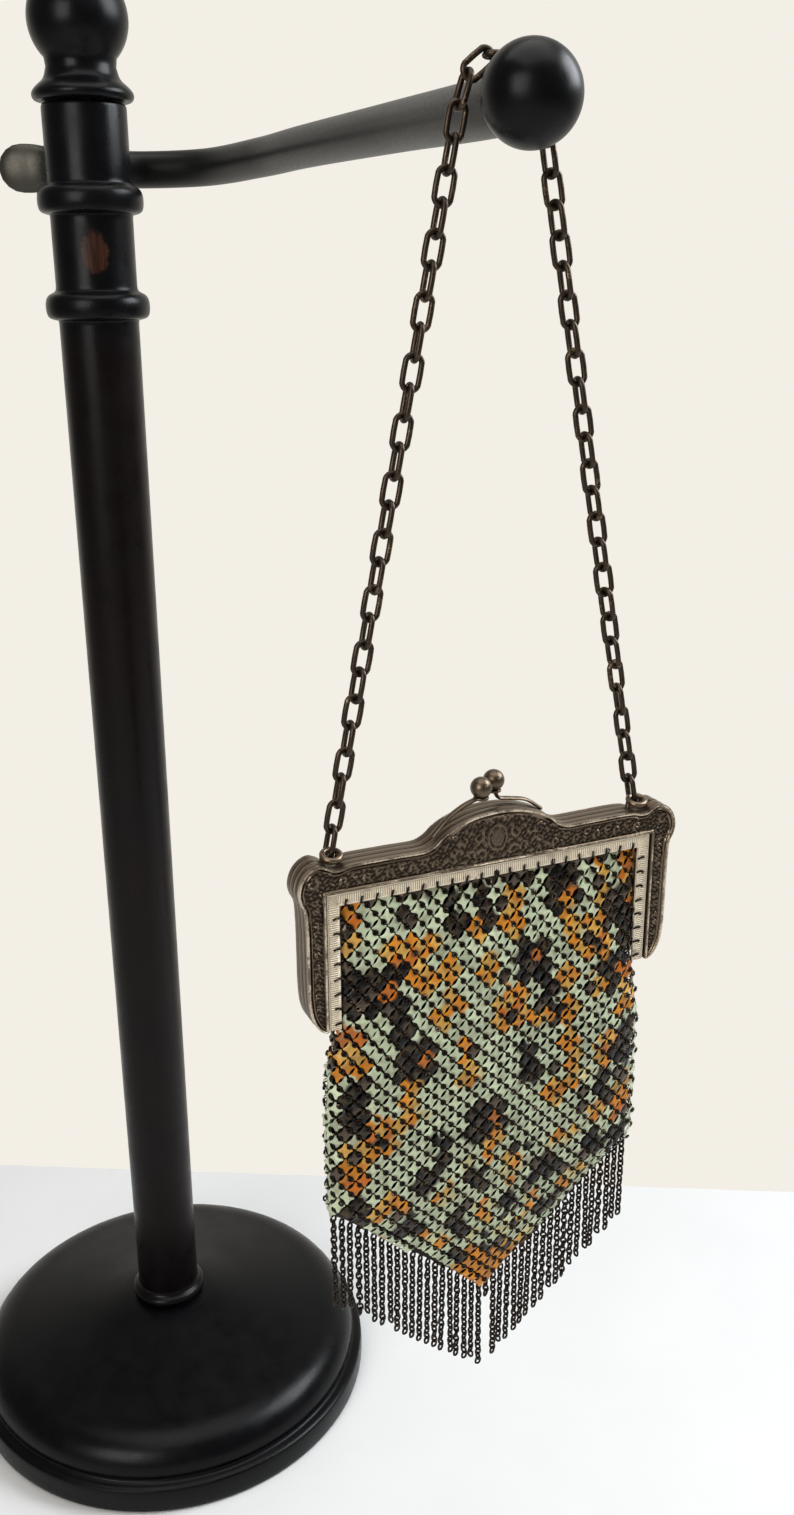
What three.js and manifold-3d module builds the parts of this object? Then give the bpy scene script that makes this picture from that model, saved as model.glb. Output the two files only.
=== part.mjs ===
// A metal mesh purse with a chain, hanging from the arm of a turned display stand.
// Millimetres, +Z up. The origin is the centre of the stand's underside and the purse faces -Y.
import * as THREE from 'three';
import Module from 'manifold-3d';
import { mergeVertices } from 'three/addons/utils/BufferGeometryUtils.js';

const wasm = await Module();
wasm.setup();

// Driving dimensions of the stand.
const BASE_RADIUS = 79.5;
const BASE_HEIGHT = 35.6;
const POLE_RADIUS = 12.7;
const FINIAL_RADIUS = 15.2;
const ARM_RADIUS = 5.65;
const ARM_HEIGHT = 463.5;
const ARM_BEND = 47.4;
const POLE_TOP = ARM_HEIGHT + 3 * ARM_RADIUS;
const ARM_BALL_RADIUS = 9.7;
const GAP = 0.3;

// Driving dimensions of the purse. Its frame opening is the rectangle that the mesh hangs in.
const PURSE_X = 32.6;
const PURSE_Y = -209.5;
const FRAME_Z = 304.2;
const OPENING_HALF = 41.4;
const LEG_LENGTH = 33.3;
const FRAME_DEPTH = 7.0;
const BAR_HEIGHT = 6.3;
const ARCH_HEIGHT = 12.6;
const RAIL_WIDTH = 2.8;
const RAIL_THICK = 1.0;
const RAIL_SUNK = 0.55;
const BAG_HALF = 41.3;
const BAG_SIDE_DROP = 83.5;
const BAG_TIP_DROP = 118.4;
const BAG_HALF_DEPTH = 6.0;
const BAG_WALL = 1.5;
const STRAND_COUNT = 40;
const STRAND_LENGTH = 24.0;
const STRAND_WIDTH = 1.5;
const BALL_RADIUS = 2.45;

// Driving dimensions of the chain.
const LINK_PITCH = 5.7;
const LINK_WIDTH = 4.7;
const WIRE_RADIUS = 0.62;
const LINK_OVERLAP = 0.06;
const EYE_X = 38.8;
const EYE_Y = 0.0;
const EYE_Z = 7.7;
const EYE_RADIUS = 1.95;
const EYE_WIRE = 0.7;
const EYE_TILT = 1.3;
const CHAIN_Y = EYE_Y + EYE_RADIUS * Math.sin(EYE_TILT);

const material = (color, roughness, metalness) =>
  new THREE.MeshStandardMaterial({ color, roughness, metalness });
const PAINT = () => material(0x17171b, 0.38, 0.0);
const SILVER = () => material(0x6a6055, 0.42, 0.9);

// Turns any closed three.js geometry into a manifold solid with outward faces.
function solid(geometry) {
  const bare = new THREE.BufferGeometry();
  bare.setAttribute('position', geometry.getAttribute('position').clone());
  if (geometry.index) bare.setIndex(geometry.index.clone());
  const g = mergeVertices(bare, 1e-4);
  const vertProperties = new Float32Array(g.getAttribute('position').array);
  const index = Array.from(g.index.array);
  const triVerts = new Uint32Array(keepFull(index));
  if (signedVolume(vertProperties, triVerts) < 0) flip(triVerts);
  return new wasm.Manifold(new wasm.Mesh({ numProp: 3, vertProperties, triVerts }));
}

// Drops the triangles that a merged pole or seam has left without area.
function keepFull(index) {
  const kept = [];
  for (let i = 0; i < index.length; i += 3) {
    const [a, b, c] = index.slice(i, i + 3);
    if (a !== b && b !== c && c !== a) kept.push(a, b, c);
  }
  return kept;
}

function signedVolume(p, t) {
  const at = (i) => new THREE.Vector3(p[3 * i], p[3 * i + 1], p[3 * i + 2]);
  let volume = 0;
  for (let i = 0; i < t.length; i += 3) {
    volume += at(t[i]).dot(at(t[i + 1]).cross(at(t[i + 2])));
  }
  return volume / 6;
}

function flip(t) {
  for (let i = 0; i < t.length; i += 3) [t[i], t[i + 1]] = [t[i + 1], t[i]];
}

const unite = (parts) => parts.reduce((sum, part) => sum.add(part));

function geometryOf(manifold) {
  const { vertProperties, triVerts, numProp } = manifold.getMesh();
  const positions = [];
  for (let i = 0; i < vertProperties.length; i += numProp) {
    positions.push(vertProperties[i], vertProperties[i + 1], vertProperties[i + 2]);
  }
  const g = new THREE.BufferGeometry();
  g.setAttribute('position', new THREE.Float32BufferAttribute(positions, 3));
  g.setIndex(Array.from(triVerts));
  g.computeVertexNormals();
  return g;
}

function node(name, manifold, mat) {
  const mesh = new THREE.Mesh(geometryOf(manifold), mat);
  mesh.name = name;
  return mesh;
}

function turned(profile, segments) {
  const points = profile.map(([r, z]) => new THREE.Vector2(r, z));
  return solid(new THREE.LatheGeometry(points, segments).rotateX(Math.PI / 2));
}

function box(sx, sy, sz, x, y, z) {
  return solid(new THREE.BoxGeometry(sx, sy, sz).translate(x, y, z));
}

function ball(radius, x, y, z, around = 14, down = 9) {
  return solid(new THREE.SphereGeometry(radius, around, down).rotateX(Math.PI / 2).translate(x, y, z));
}

// A flat outline in x and z, given thickness from y0 to y1. A bevel narrows the face at y0.
function plate(outline, y0, y1, bevel = 0) {
  const shape = new THREE.Shape(outline.map(([x, z]) => new THREE.Vector2(x, z)));
  const depth = Math.abs(y1 - y0);
  const g = new THREE.ExtrudeGeometry(shape, { depth, steps: 1, bevelEnabled: false });
  g.rotateX(Math.PI / 2).translate(0, Math.max(y0, y1), 0);
  if (bevel) bevelFace(g, outline, y0, bevel);
  return solid(g);
}

// Draws the corners of the face at y0 in, and the rest of the edge is a band behind it.
function bevelFace(g, outline, y0, bevel) {
  const p = g.getAttribute('position');
  const narrow = inset(outline, bevel);
  for (let i = 0; i < p.count; i += 1) {
    if (Math.abs(p.getY(i) - y0) > 1e-6) continue;
    const k = outline.findIndex(([x, z]) => Math.hypot(x - p.getX(i), z - p.getZ(i)) < 1e-4);
    p.setXYZ(i, narrow[k][0], y0, narrow[k][1]);
  }
}

const mirrored = (half) => half.concat([...half].reverse().map(([x, z]) => [-x, z]));

// Moves each corner of a closed outline to its inner side.
function inset(outline, distance) {
  const n = outline.length;
  const area = outline.reduce((sum, [x, z], i) => {
    const [u, w] = outline[(i + 1) % n];
    return sum + x * w - u * z;
  }, 0);
  const side = Math.sign(area);
  return outline.map(([x, z], i) => {
    const before = unitNormal(outline[(i + n - 1) % n], [x, z], side);
    const after = unitNormal([x, z], outline[(i + 1) % n], side);
    const sum = [before[0] + after[0], before[1] + after[1]];
    const scale = (2 * distance) / (sum[0] ** 2 + sum[1] ** 2);
    return [x + sum[0] * scale, z + sum[1] * scale];
  });
}

function unitNormal([x0, z0], [x1, z1], side) {
  const length = Math.hypot(x1 - x0, z1 - z0);
  return [(-side * (z1 - z0)) / length, (side * (x1 - x0)) / length];
}

function standBase() {
  const r = BASE_RADIUS;
  const h = BASE_HEIGHT;
  return turned([
    [0, 0], [r, 0], [r, 0.27 * h], [0.987 * r, 0.3 * h], [0.946 * r, 0.315 * h],
    [0.953 * r, 0.4 * h], [0.941 * r, 0.5 * h], [0.905 * r, 0.61 * h], [0.84 * r, 0.695 * h],
    [0.727 * r, 0.72 * h], [0.715 * r, 0.742 * h], [0.4 * r, 0.88 * h], [0.184 * r, h], [0, h],
  ], 32);
}

// The collar tables hold the radius, and the height above the collar's foot, as shares of the pole.
const RING = [[1.05, 0], [1.24, 0.055], [1.295, 0.205], [1.295, 0.457], [1.22, 0.606], [1.06, 0.677]];

function ring(z) {
  return RING.map(([share, up]) => [share * POLE_RADIUS, z + up * POLE_RADIUS]);
}

function standColumn() {
  const p = POLE_RADIUS;
  const foot = BASE_HEIGHT + GAP;
  const low = 0.868 * POLE_TOP;
  const middle = 0.9336 * POLE_TOP;
  const body = turned([
    [0, foot], [1.02 * p, foot], [1.13 * p, foot + 0.095 * p], [1.13 * p, foot + 0.27 * p],
    [0.93 * p, foot + 0.38 * p], [0.935 * p, foot + 2.4 * p], [0.998 * p, low], ...ring(low),
    [1.008 * p, low + 0.74 * p],
    [1.012 * p, middle], ...ring(middle), [1.024 * p, middle + 0.74 * p], [1.024 * p, POLE_TOP],
    [0, POLE_TOP],
  ], 16);
  const inside = 0.5 * p;
  const reach = 1.024 * p + GAP + 1.7 * ARM_RADIUS;
  const top = ARM_HEIGHT - ARM_RADIUS - GAP;
  const thick = 0.57 * ARM_RADIUS;
  const middleY = (reach + inside) / 2;
  return body.add(box(1.6 * ARM_RADIUS, reach - inside, thick, 0.15 * p, middleY, top - thick / 2));
}

function standFinial() {
  const r = FINIAL_RADIUS;
  const z = POLE_TOP + GAP;
  const neck = [
    [0, 0], [0.95, 0], [1.02, 0.066], [1.02, 0.171], [0.93, 0.276], [0.76, 0.408], [0.7, 0.632],
  ];
  const turns = [-0.6, -0.3, 0, 0.3, 0.6, 0.95, 1.3];
  const centre = 1.5;
  const globe = turns.map((a) => [Math.cos(a), centre + Math.sin(a)]);
  return turned([...neck, ...globe, [0, centre + 1]].map(([x, y]) => [x * r, z + y * r]), 16);
}

// The arm starts as a flat paddle behind the pole, bends round it and runs forward to the ball.
// Its first points lie behind the pole, the next ones round the bend, and the last over the purse.
const BESIDE = 1.024 * POLE_RADIUS + ARM_RADIUS + GAP;
const ARM_ROUTE = [
  [-1.21 * POLE_RADIUS, 1.393 * BESIDE, 0.02 * ARM_RADIUS],
  [0.315 * POLE_RADIUS, 1.003 * BESIDE, 0],
  [1.764 * POLE_RADIUS, 0.833 * BESIDE, -0.02 * ARM_RADIUS],
  [0.814 * ARM_BEND, 0.042 * ARM_BEND, 0.02 * ARM_RADIUS],
  [0.983 * ARM_BEND, -0.633 * ARM_BEND, 0.14 * ARM_RADIUS],
  [ARM_BEND, -1.308 * ARM_BEND, 0.16 * ARM_RADIUS],
  [0.89 * ARM_BEND, 0.6616 * PURSE_Y, -0.23 * ARM_RADIUS],
  [PURSE_X + 0.035 * ARM_RADIUS, PURSE_Y + 0.62 * ARM_RADIUS, -0.761 * ARM_RADIUS],
  [PURSE_X - 0.177 * ARM_RADIUS, PURSE_Y - 2.035 * ARM_RADIUS, -0.726 * ARM_RADIUS],
];

function armCurve() {
  const pts = ARM_ROUTE.map(([x, y, rise]) => new THREE.Vector3(x, y, ARM_HEIGHT + rise));
  return new THREE.CatmullRomCurve3(pts, false, 'centripetal');
}

function circleShape(radius, sides) {
  const shape = new THREE.Shape();
  for (let i = 0; i < sides; i += 1) {
    const a = (2 * Math.PI * i) / sides;
    shape[i ? 'lineTo' : 'moveTo'](radius * Math.cos(a), radius * Math.sin(a));
  }
  shape.closePath();
  return shape;
}

function standArm() {
  const extrudePath = armCurve();
  const tube = solid(new THREE.ExtrudeGeometry(circleShape(ARM_RADIUS, 10), { steps: 22, extrudePath }));
  const [x, y, rise] = ARM_ROUTE[0];
  const r = ARM_RADIUS;
  const reach = 1.3 * r;
  const half = 0.425 * r;
  const tongue = (s) => -reach - 0.71 * r * Math.sqrt(1 - s * s);
  const outline = [-1, -0.62, 0, 0.62, 1].map((s) => [tongue(s), 1.36 * r * s]);
  const paddle = plate([...outline, [reach * 0.4, r * 0.96], [reach * 0.4, -r * 0.96]], -half, half);
  const placed = paddle.rotate([0, 0, -21]).translate([x + 0.18 * r, y - 0.035 * r, ARM_HEIGHT + rise]);
  const end = armCurve().getPoint(1);
  const cut = ball(ARM_BALL_RADIUS + GAP, end.x, end.y, end.z, 14, 9);
  return tube.add(placed).subtract(cut);
}

function armBall() {
  const end = armCurve().getPoint(1);
  return ball(ARM_BALL_RADIUS, end.x, end.y, end.z, 14, 10);
}

// Right half of a frame half's outline, from the middle of the arch down the outer side of the leg
// and back up the inner side. Each number is a share of the arch, the bar, the opening or the leg.
function frameOutline() {
  const w = OPENING_HALF;
  const a = ARCH_HEIGHT;
  const b = BAR_HEIGHT;
  const leg = LEG_LENGTH;
  return [
    [0.08 * w, a], [0.22 * w, 0.9 * a], [0.32 * w, 0.75 * a], [0.4 * w, 1.14 * b], [0.47 * w, b],
    [0.86 * w, b], [0.92 * w, 0.9 * b], [0.965 * w, 0.92 * b], [1.0 * w, 1.06 * b], [1.04 * w, 1.16 * b],
    [1.09 * w, 1.06 * b], [1.135 * w, 0.72 * b], [1.158 * w, 0.24 * b], [1.15 * w, -0.1 * b],
    [1.125 * w, -0.08 * leg], [1.118 * w, -0.36 * leg], [1.115 * w, -0.74 * leg], [1.1 * w, -0.87 * leg],
    [1.058 * w, -0.97 * leg], [1.02 * w, -leg], [w, -leg], [w, 0],
  ];
}

// The same outline, ended higher on the leg, is the edge that the sunk panel keeps clear of.
function panelOutline() {
  const edge = frameOutline().slice(0, 17);
  const foot = -0.74 * LEG_LENGTH;
  return [...edge, [OPENING_HALF, foot], [OPENING_HALF, 0]];
}

// Curled leaves of the stamped relief as [x share, height, radius, turn, sweep] in arch and bar units.
const LEAVES = [
  [0.16, 0.46, 2.3, 0.5, 3.7], [0.285, 0.34, 1.7, 3.6, 3.6], [0.43, 0.26, 1.25, 0.4, 3.8],
  [0.6, 0.26, 1.25, 3.5, 3.8], [0.77, 0.26, 1.25, 0.4, 3.8],
];
const LEG_LEAVES = [[0.14, 0.4], [0.36, 3.5], [0.58, 0.4]];

function leaf(x, z, radius, turn, sweep, y0, y1) {
  const outer = [];
  const inner = [];
  for (let i = 0; i <= 3; i += 1) {
    const a = turn + (sweep * i) / 3;
    const out = radius * (1 - 0.09 * i);
    outer.push([x + out * Math.cos(a), z + out * Math.sin(a)]);
    inner.unshift([x + (out - 0.62) * Math.cos(a), z + (out - 0.62) * Math.sin(a)]);
  }
  return plate([...outer, ...inner], y0, y1);
}

function relief(y0, y1) {
  const w = OPENING_HALF;
  const parts = [];
  for (const side of [1, -1]) {
    const facing = (turn, sweep) => (side > 0 ? turn : Math.PI - turn - sweep);
    for (const [x, z, radius, turn, sweep] of LEAVES) {
      parts.push(leaf(side * x * w, z * ARCH_HEIGHT, radius, facing(turn, sweep), sweep, y0, y1));
    }
    for (const [z, turn] of LEG_LEAVES) {
      parts.push(leaf(side * 1.055 * w, -z * LEG_LENGTH, 1.05, facing(turn, 3.6), 3.6, y0, y1));
    }
  }
  const oval = Array.from({ length: 10 }, (_, i) => {
    const a = (2 * Math.PI * i) / 10;
    return [2.6 * Math.cos(a), 0.5 * ARCH_HEIGHT + 3.1 * Math.sin(a)];
  });
  parts.push(plate(oval, y0, y1));
  return unite(parts);
}

// One stamped half: a bevelled plate with a sunk panel that carries the relief.
function frameHalf() {
  const outline = mirrored(frameOutline());
  const face = -FRAME_DEPTH / 2;
  const edge = plate(outline, face, face + 0.6, 0.4);
  const body = plate(outline, face + 0.6, -GAP / 2);
  const panel = plate(inset(mirrored(panelOutline()), 1.15), face - 1, face + 0.5);
  return edge.add(body).subtract(panel).add(relief(face + 0.1, face + 0.7));
}

// The strip of a bent wire or strap through a few points of the x-y-z route.
function strap(route, wide, thick, steps) {
  const extrudePath = new THREE.CatmullRomCurve3(route.map((p) => new THREE.Vector3(...p)));
  const shape = new THREE.Shape([
    [-thick, -wide], [thick, -wide], [thick, wide], [-thick, wide],
  ].map(([x, y]) => new THREE.Vector2(x / 2, y / 2)));
  return solid(new THREE.ExtrudeGeometry(shape, { steps, extrudePath }));
}

// The knobs of the catch stand one before the other, each on its own sprung strap.
const CATCH_Z = 18.1;

function frontCatch() {
  const a = ARCH_HEIGHT;
  const y = -1.5;
  const route = [[-15.6, y, 0.66 * a], [-12.2, y, 0.98 * a], [-8.2, y, 1.2 * a], [-3.9, y, 1.32 * a]];
  return strap(route, 1.7, 0.9, 6).add(ball(BALL_RADIUS, -3.6, -1.5, CATCH_Z, 12, 8));
}

function backCatch() {
  const a = ARCH_HEIGHT;
  const y = 1.7;
  const lying = [[13.6, y, 0.74 * a], [9.6, y, 0.97 * a], [5.4, y, 1.06 * a]];
  const route = [...lying, [2.4, y, 1.12 * a], [1.4, y, 1.3 * a]];
  const flange = box(3.4, 3.4, 0.5, 1.25, y, CATCH_Z - BALL_RADIUS + 0.1);
  return unite([strap(route, 1.7, 0.9, 7), flange, ball(BALL_RADIUS, 1.25, y, CATCH_Z, 12, 8)]);
}

// An eye for the chain's end link, leaned far back on two feet that stand on the back half.
function eye(side) {
  const torus = new THREE.TorusGeometry(EYE_RADIUS, EYE_WIRE, 6, 12).rotateX(Math.PI / 2 - EYE_TILT);
  const loop = solid(torus.translate(side * EYE_X, EYE_Y, EYE_Z));
  const under = 0.8 * BAR_HEIGHT;
  const y = EYE_Y + 0.42 * EYE_RADIUS;
  const feet = [-1, 1].map((end) =>
    box(1.1, 1.1, EYE_Z - under, side * EYE_X + end * 0.9 * EYE_RADIUS, y, (EYE_Z + under) / 2));
  return unite([loop, ...feet]);
}

function frameFront() {
  return frameHalf().add(frontCatch());
}

function frameBack() {
  const half = frameHalf().mirror([0, 1, 0]);
  return unite([half, backCatch(), eye(1), eye(-1)]);
}

// The milled strip that the mesh is ringed to, inside the opening of one frame half.
function rail(side) {
  const out = OPENING_HALF - GAP;
  const inn = out - RAIL_WIDTH;
  const leg = LEG_LENGTH;
  const foot = [[out, -0.99 * leg], [inn + 0.6, -1.01 * leg], [inn, -0.98 * leg]];
  const half = [[out, -GAP], ...foot, [inn, -RAIL_WIDTH]];
  const y = side * (FRAME_DEPTH / 2 - RAIL_SUNK);
  return plate(mirrored(half), y, y - side * RAIL_THICK);
}

// Each row is a level of the bag: height share, half width share, front and back depth share.
const BAG_LEVELS = [
  [0, 0.925, 0.36, 0.36], [0.12, 0.926, 0.62, 0.55], [0.27, 0.927, 0.86, 0.72], [0.375, 0.928, 0.94, 0.84],
  [0.4, 0.955, 0.95, 0.86], [0.56, 0.993, 1.0, 0.95], [0.76, 1.0, 0.98, 0.98], [0.97, 1.0, 0.86, 0.86],
];
const TIP_LEVELS = [[0.14, 0.78], [0.36, 0.66], [0.6, 0.5], [0.82, 0.36], [0.97, 0.24]];
const BAG_TOP = RAIL_WIDTH + GAP + 0.2;

function bagLevels() {
  const drop = BAG_SIDE_DROP - BAG_TOP;
  const deep = BAG_HALF_DEPTH;
  const upper = BAG_LEVELS.map(([t, w, f, b]) => [-BAG_TOP - t * drop, w * BAG_HALF, f * deep, b * deep]);
  const fall = BAG_TIP_DROP - BAG_SIDE_DROP;
  const lower = TIP_LEVELS.map(([t, d]) => [-BAG_SIDE_DROP - t * fall, (1 - t) * BAG_HALF, d * deep, d * deep]);
  return upper.concat(lower);
}

// Soft vertical folds of the hanging mesh, strongest at mid height.
function fold(x, z) {
  const along = Math.sin((Math.PI * Math.min(1, -z / BAG_SIDE_DROP)) ** 1);
  return along * (0.45 * Math.cos(x / 4.6 + 0.5) + 0.3 * Math.cos(x / 9.5 - z / 30));
}

function bagRing([z, w, front, back], count, wall) {
  const points = [];
  for (let i = 0; i < count; i += 1) {
    const a = (2 * Math.PI * i) / count;
    const c = Math.sign(Math.cos(a)) * Math.abs(Math.cos(a)) ** 0.62;
    const s = Math.sign(Math.sin(a)) * Math.abs(Math.sin(a)) ** 0.62;
    const x = Math.max(w - wall, 0.4) * c;
    const depth = Math.max((s < 0 ? front : back) - wall, 0.3);
    const wave = fold(x, z) * Math.min(1, depth / BAG_HALF_DEPTH) * Math.min(1, Math.abs(s) * 1.5);
    points.push([x, depth * s - Math.sign(s) * wave, z]);
  }
  return points;
}

// Skins a stack of rings and closes both ends with a fan.
function loft(rings) {
  const n = rings[0].length;
  const positions = rings.flat(2);
  const index = [];
  for (let k = 0; k + 1 < rings.length; k += 1) {
    for (let i = 0; i < n; i += 1) {
      const j = (i + 1) % n;
      index.push(k * n + i, k * n + j, (k + 1) * n + j, k * n + i, (k + 1) * n + j, (k + 1) * n + i);
    }
  }
  for (const k of [0, rings.length - 1]) {
    for (let i = 1; i + 1 < n; i += 1) {
      const fan = [k * n, k * n + i, k * n + i + 1];
      index.push(...(k ? fan : fan.reverse()));
    }
  }
  const g = new THREE.BufferGeometry();
  g.setAttribute('position', new THREE.Float32BufferAttribute(positions, 3));
  g.setIndex(index);
  return solid(g);
}

function meshBag() {
  const levels = bagLevels();
  const outer = loft(levels.map((level) => bagRing(level, 20, 0)));
  const [, w, front, back] = levels[0];
  const mouth = [1 - BAG_TOP, w, front, back];
  const hollow = [mouth, ...levels.slice(0, -2)];
  return outer.subtract(loft(hollow.map((level) => bagRing(level, 16, BAG_WALL))));
}

const seamZ = (x) => -BAG_TIP_DROP + (Math.abs(x) / BAG_HALF) * (BAG_TIP_DROP - BAG_SIDE_DROP);

// A comb: a V-shaped heading under the bag's seam with one strip for each hanging chain.
function fringe() {
  const w = BAG_HALF;
  const top = -0.75;
  const pitch = (2 * w) / STRAND_COUNT;
  const outline = [[-w - 0.2, seamZ(w) + top]];
  for (let i = 0; i < STRAND_COUNT; i += 1) {
    const x = (i - (STRAND_COUNT - 1) / 2) * pitch;
    const foot = seamZ(x) + top - STRAND_LENGTH;
    for (const [side, low] of [[-1, false], [-1, true], [1, true], [1, false]]) {
      const edge = x + (side * STRAND_WIDTH) / 2;
      outline.push([edge, low ? foot : seamZ(edge) + top - 1.3]);
    }
  }
  outline.push([w + 0.2, seamZ(w) + top], [0, seamZ(0) + top]);
  return plate(outline, -0.65, 0.65);
}

// An oval link with its long axis on Z, swept as a pentagon round ten points. Its ends reach just
// into the ends of the links before and after it.
function linkGeometry(pitch) {
  const halfWidth = LINK_WIDTH / 2 - WIRE_RADIUS;
  const straight = (pitch - LINK_OVERLAP) / 2 + WIRE_RADIUS - halfWidth;
  const path = [];
  for (let i = 0; i < 10; i += 1) {
    const a = (Math.PI * (i % 5)) / 4;
    const up = i < 5 ? 1 : -1;
    const c = new THREE.Vector2(up * halfWidth * Math.cos(a), up * (straight + halfWidth * Math.sin(a)));
    path.push(c);
  }
  const positions = [];
  const index = [];
  path.forEach((p, i) => {
    const along = path[(i + 1) % 10].clone().sub(path[(i + 9) % 10]).normalize();
    const out = new THREE.Vector2(along.y, -along.x);
    for (let k = 0; k < 5; k += 1) {
      const a = (2 * Math.PI * k) / 5;
      const reach = -WIRE_RADIUS * Math.cos(a);
      positions.push(p.x + out.x * reach, WIRE_RADIUS * Math.sin(a), p.y + out.y * reach);
      const [b, d] = [((i + 1) % 10) * 5, (k + 1) % 5];
      index.push(i * 5 + k, i * 5 + d, b + d, i * 5 + k, b + d, b + k);
    }
  });
  const g = new THREE.BufferGeometry();
  g.setAttribute('position', new THREE.Float32BufferAttribute(positions, 3));
  g.setIndex(index);
  return g;
}

// The chain's route in the plane of the purse: up to the arm, round it and down to the other eye.
function chainRoute() {
  const over = armCurve().getPoints(400).reduce((best, p) =>
    (Math.abs(p.y - PURSE_Y - CHAIN_Y) < Math.abs(best.y - PURSE_Y - CHAIN_Y) ? p : best));
  const centre = new THREE.Vector2(over.x - PURSE_X, over.z - FRAME_Z);
  const radius = ARM_RADIUS + LINK_WIDTH / 2 + 0.85;
  const route = [];
  const start = [-1, 1].map((side) => {
    const rim = EYE_Z + EYE_RADIUS * Math.cos(EYE_TILT) - EYE_WIRE;
    const eyeAt = new THREE.Vector2(side * EYE_X, rim - GAP - LINK_OVERLAP / 2);
    const down = eyeAt.clone().sub(centre);
    const angle = Math.atan2(down.y, down.x) + side * Math.acos(radius / down.length());
    return { eyeAt, angle: side < 0 ? angle + 2 * Math.PI : angle };
  });
  const from = start[0].angle;
  const to = start[1].angle;
  const turns = Array.from({ length: 25 }, (_, i) => from + ((to - from) * i) / 24);
  route.push(start[0].eyeAt, ...turns.map((a) => new THREE.Vector2(
    centre.x + radius * Math.cos(a), centre.y + radius * Math.sin(a))), start[1].eyeAt);
  return route;
}

function pointAt(route, distance) {
  let left = distance;
  for (let i = 0; i + 1 < route.length; i += 1) {
    const step = route[i].distanceTo(route[i + 1]);
    if (left <= step || i + 2 === route.length) return route[i].clone().lerp(route[i + 1], left / step);
    left -= step;
  }
  return route[route.length - 1].clone();
}

function carryChain() {
  const route = chainRoute();
  const total = route.slice(1).reduce((sum, p, i) => sum + p.distanceTo(route[i]), 0);
  const count = 2 * Math.floor(total / LINK_PITCH / 2) + 1;
  const links = [];
  for (let i = 0; i < count; i += 1) {
    const a = pointAt(route, (i * total) / count);
    const b = pointAt(route, ((i + 1) * total) / count);
    const lean = Math.atan2(b.x - a.x, b.y - a.y);
    const g = linkGeometry(total / count).rotateZ(i % 2 ? 0 : Math.PI / 2).rotateY(lean);
    links.push(solid(g.translate((a.x + b.x) / 2, CHAIN_Y, (a.y + b.y) / 2)));
  }
  return unite(links);
}

const stand = new THREE.Group();
stand.name = 'stand';
stand.add(
  node('stand_base', standBase(), PAINT()),
  node('stand_column', standColumn(), PAINT()),
  node('stand_finial', standFinial(), PAINT()),
  node('stand_arm', standArm(), material(0x2b2c30, 0.4, 0.3)),
  node('arm_ball', armBall(), PAINT()),
);

const purse = new THREE.Group();
purse.name = 'purse';
purse.position.set(PURSE_X, PURSE_Y, FRAME_Z);
purse.add(
  node('frame_front', frameFront(), SILVER()),
  node('frame_back', frameBack(), SILVER()),
  node('rail_front', rail(-1), material(0xcdbf9f, 0.4, 0.8)),
  node('rail_back', rail(1), material(0xcdbf9f, 0.4, 0.8)),
  node('mesh_bag', meshBag(), material(0xb9c6a4, 0.45, 0.4)),
  node('fringe', fringe(), material(0x3c3026, 0.45, 0.9)),
  node('carry_chain', carryChain(), material(0x4b3d31, 0.42, 0.9)),
);

const root = new THREE.Group();
root.name = 'mesh_purse_on_stand';
root.add(stand, purse);

export default root;
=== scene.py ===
"""The finish of a metal mesh purse that hangs by its chain from the arm of a turned stand.

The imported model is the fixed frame. Lengths in this file are millimetres in that same frame, and
each piece is brought to metres when its object is made. Sizes on the purse are measured from the
point midway between the frame's halves, at the top edge of the opening that the mesh hangs in.
"""

from __future__ import annotations

import logging
import math
import random
from collections.abc import Callable, Sequence
from dataclasses import dataclass, field
from enum import Enum

import bmesh
import bpy
import numpy as np
from mathutils import Matrix, Vector

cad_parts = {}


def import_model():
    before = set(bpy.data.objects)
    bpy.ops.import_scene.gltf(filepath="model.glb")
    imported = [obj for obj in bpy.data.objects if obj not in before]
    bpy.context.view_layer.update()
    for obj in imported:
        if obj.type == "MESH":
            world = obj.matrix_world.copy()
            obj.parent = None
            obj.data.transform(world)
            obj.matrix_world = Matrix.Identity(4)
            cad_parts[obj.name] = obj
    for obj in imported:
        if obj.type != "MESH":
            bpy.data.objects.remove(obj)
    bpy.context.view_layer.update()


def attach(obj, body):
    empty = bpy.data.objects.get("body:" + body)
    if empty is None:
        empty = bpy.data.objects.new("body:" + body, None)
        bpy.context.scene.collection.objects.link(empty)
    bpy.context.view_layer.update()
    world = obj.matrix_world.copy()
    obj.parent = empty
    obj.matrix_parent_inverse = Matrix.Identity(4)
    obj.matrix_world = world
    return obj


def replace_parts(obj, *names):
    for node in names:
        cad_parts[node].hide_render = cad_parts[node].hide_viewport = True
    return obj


LOG = logging.getLogger("mesh_purse")
MM = 0.001
BODY = "root"

PURSE = np.array([32.6, -209.5, 304.2])
OPENING_HALF = 41.4
LEG_LENGTH = 33.3
HALF_DEPTH = 3.5
SEAM = 0.15
BAR_HEIGHT = 6.3
ARCH_HEIGHT = 12.6
RAIL_WIDTH = 2.8
RAIL_GAP = 0.3
BAG_HALF = 41.3
SIDE_DROP = 83.5
TIP_DROP = 118.4
BAG_DEPTH = 6.0

Rgb = tuple[float, float, float]

RING_BROWN: Rgb = (0.020, 0.014, 0.010)
RING_RUBBED: Rgb = (0.32, 0.25, 0.18)
FRINGE_BROWN: Rgb = (0.026, 0.019, 0.014)
FRINGE_RUBBED: Rgb = (0.13, 0.10, 0.07)
CHAIN_BROWN: Rgb = (0.052, 0.037, 0.026)
CHAIN_RUBBED: Rgb = (0.27, 0.195, 0.115)


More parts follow.
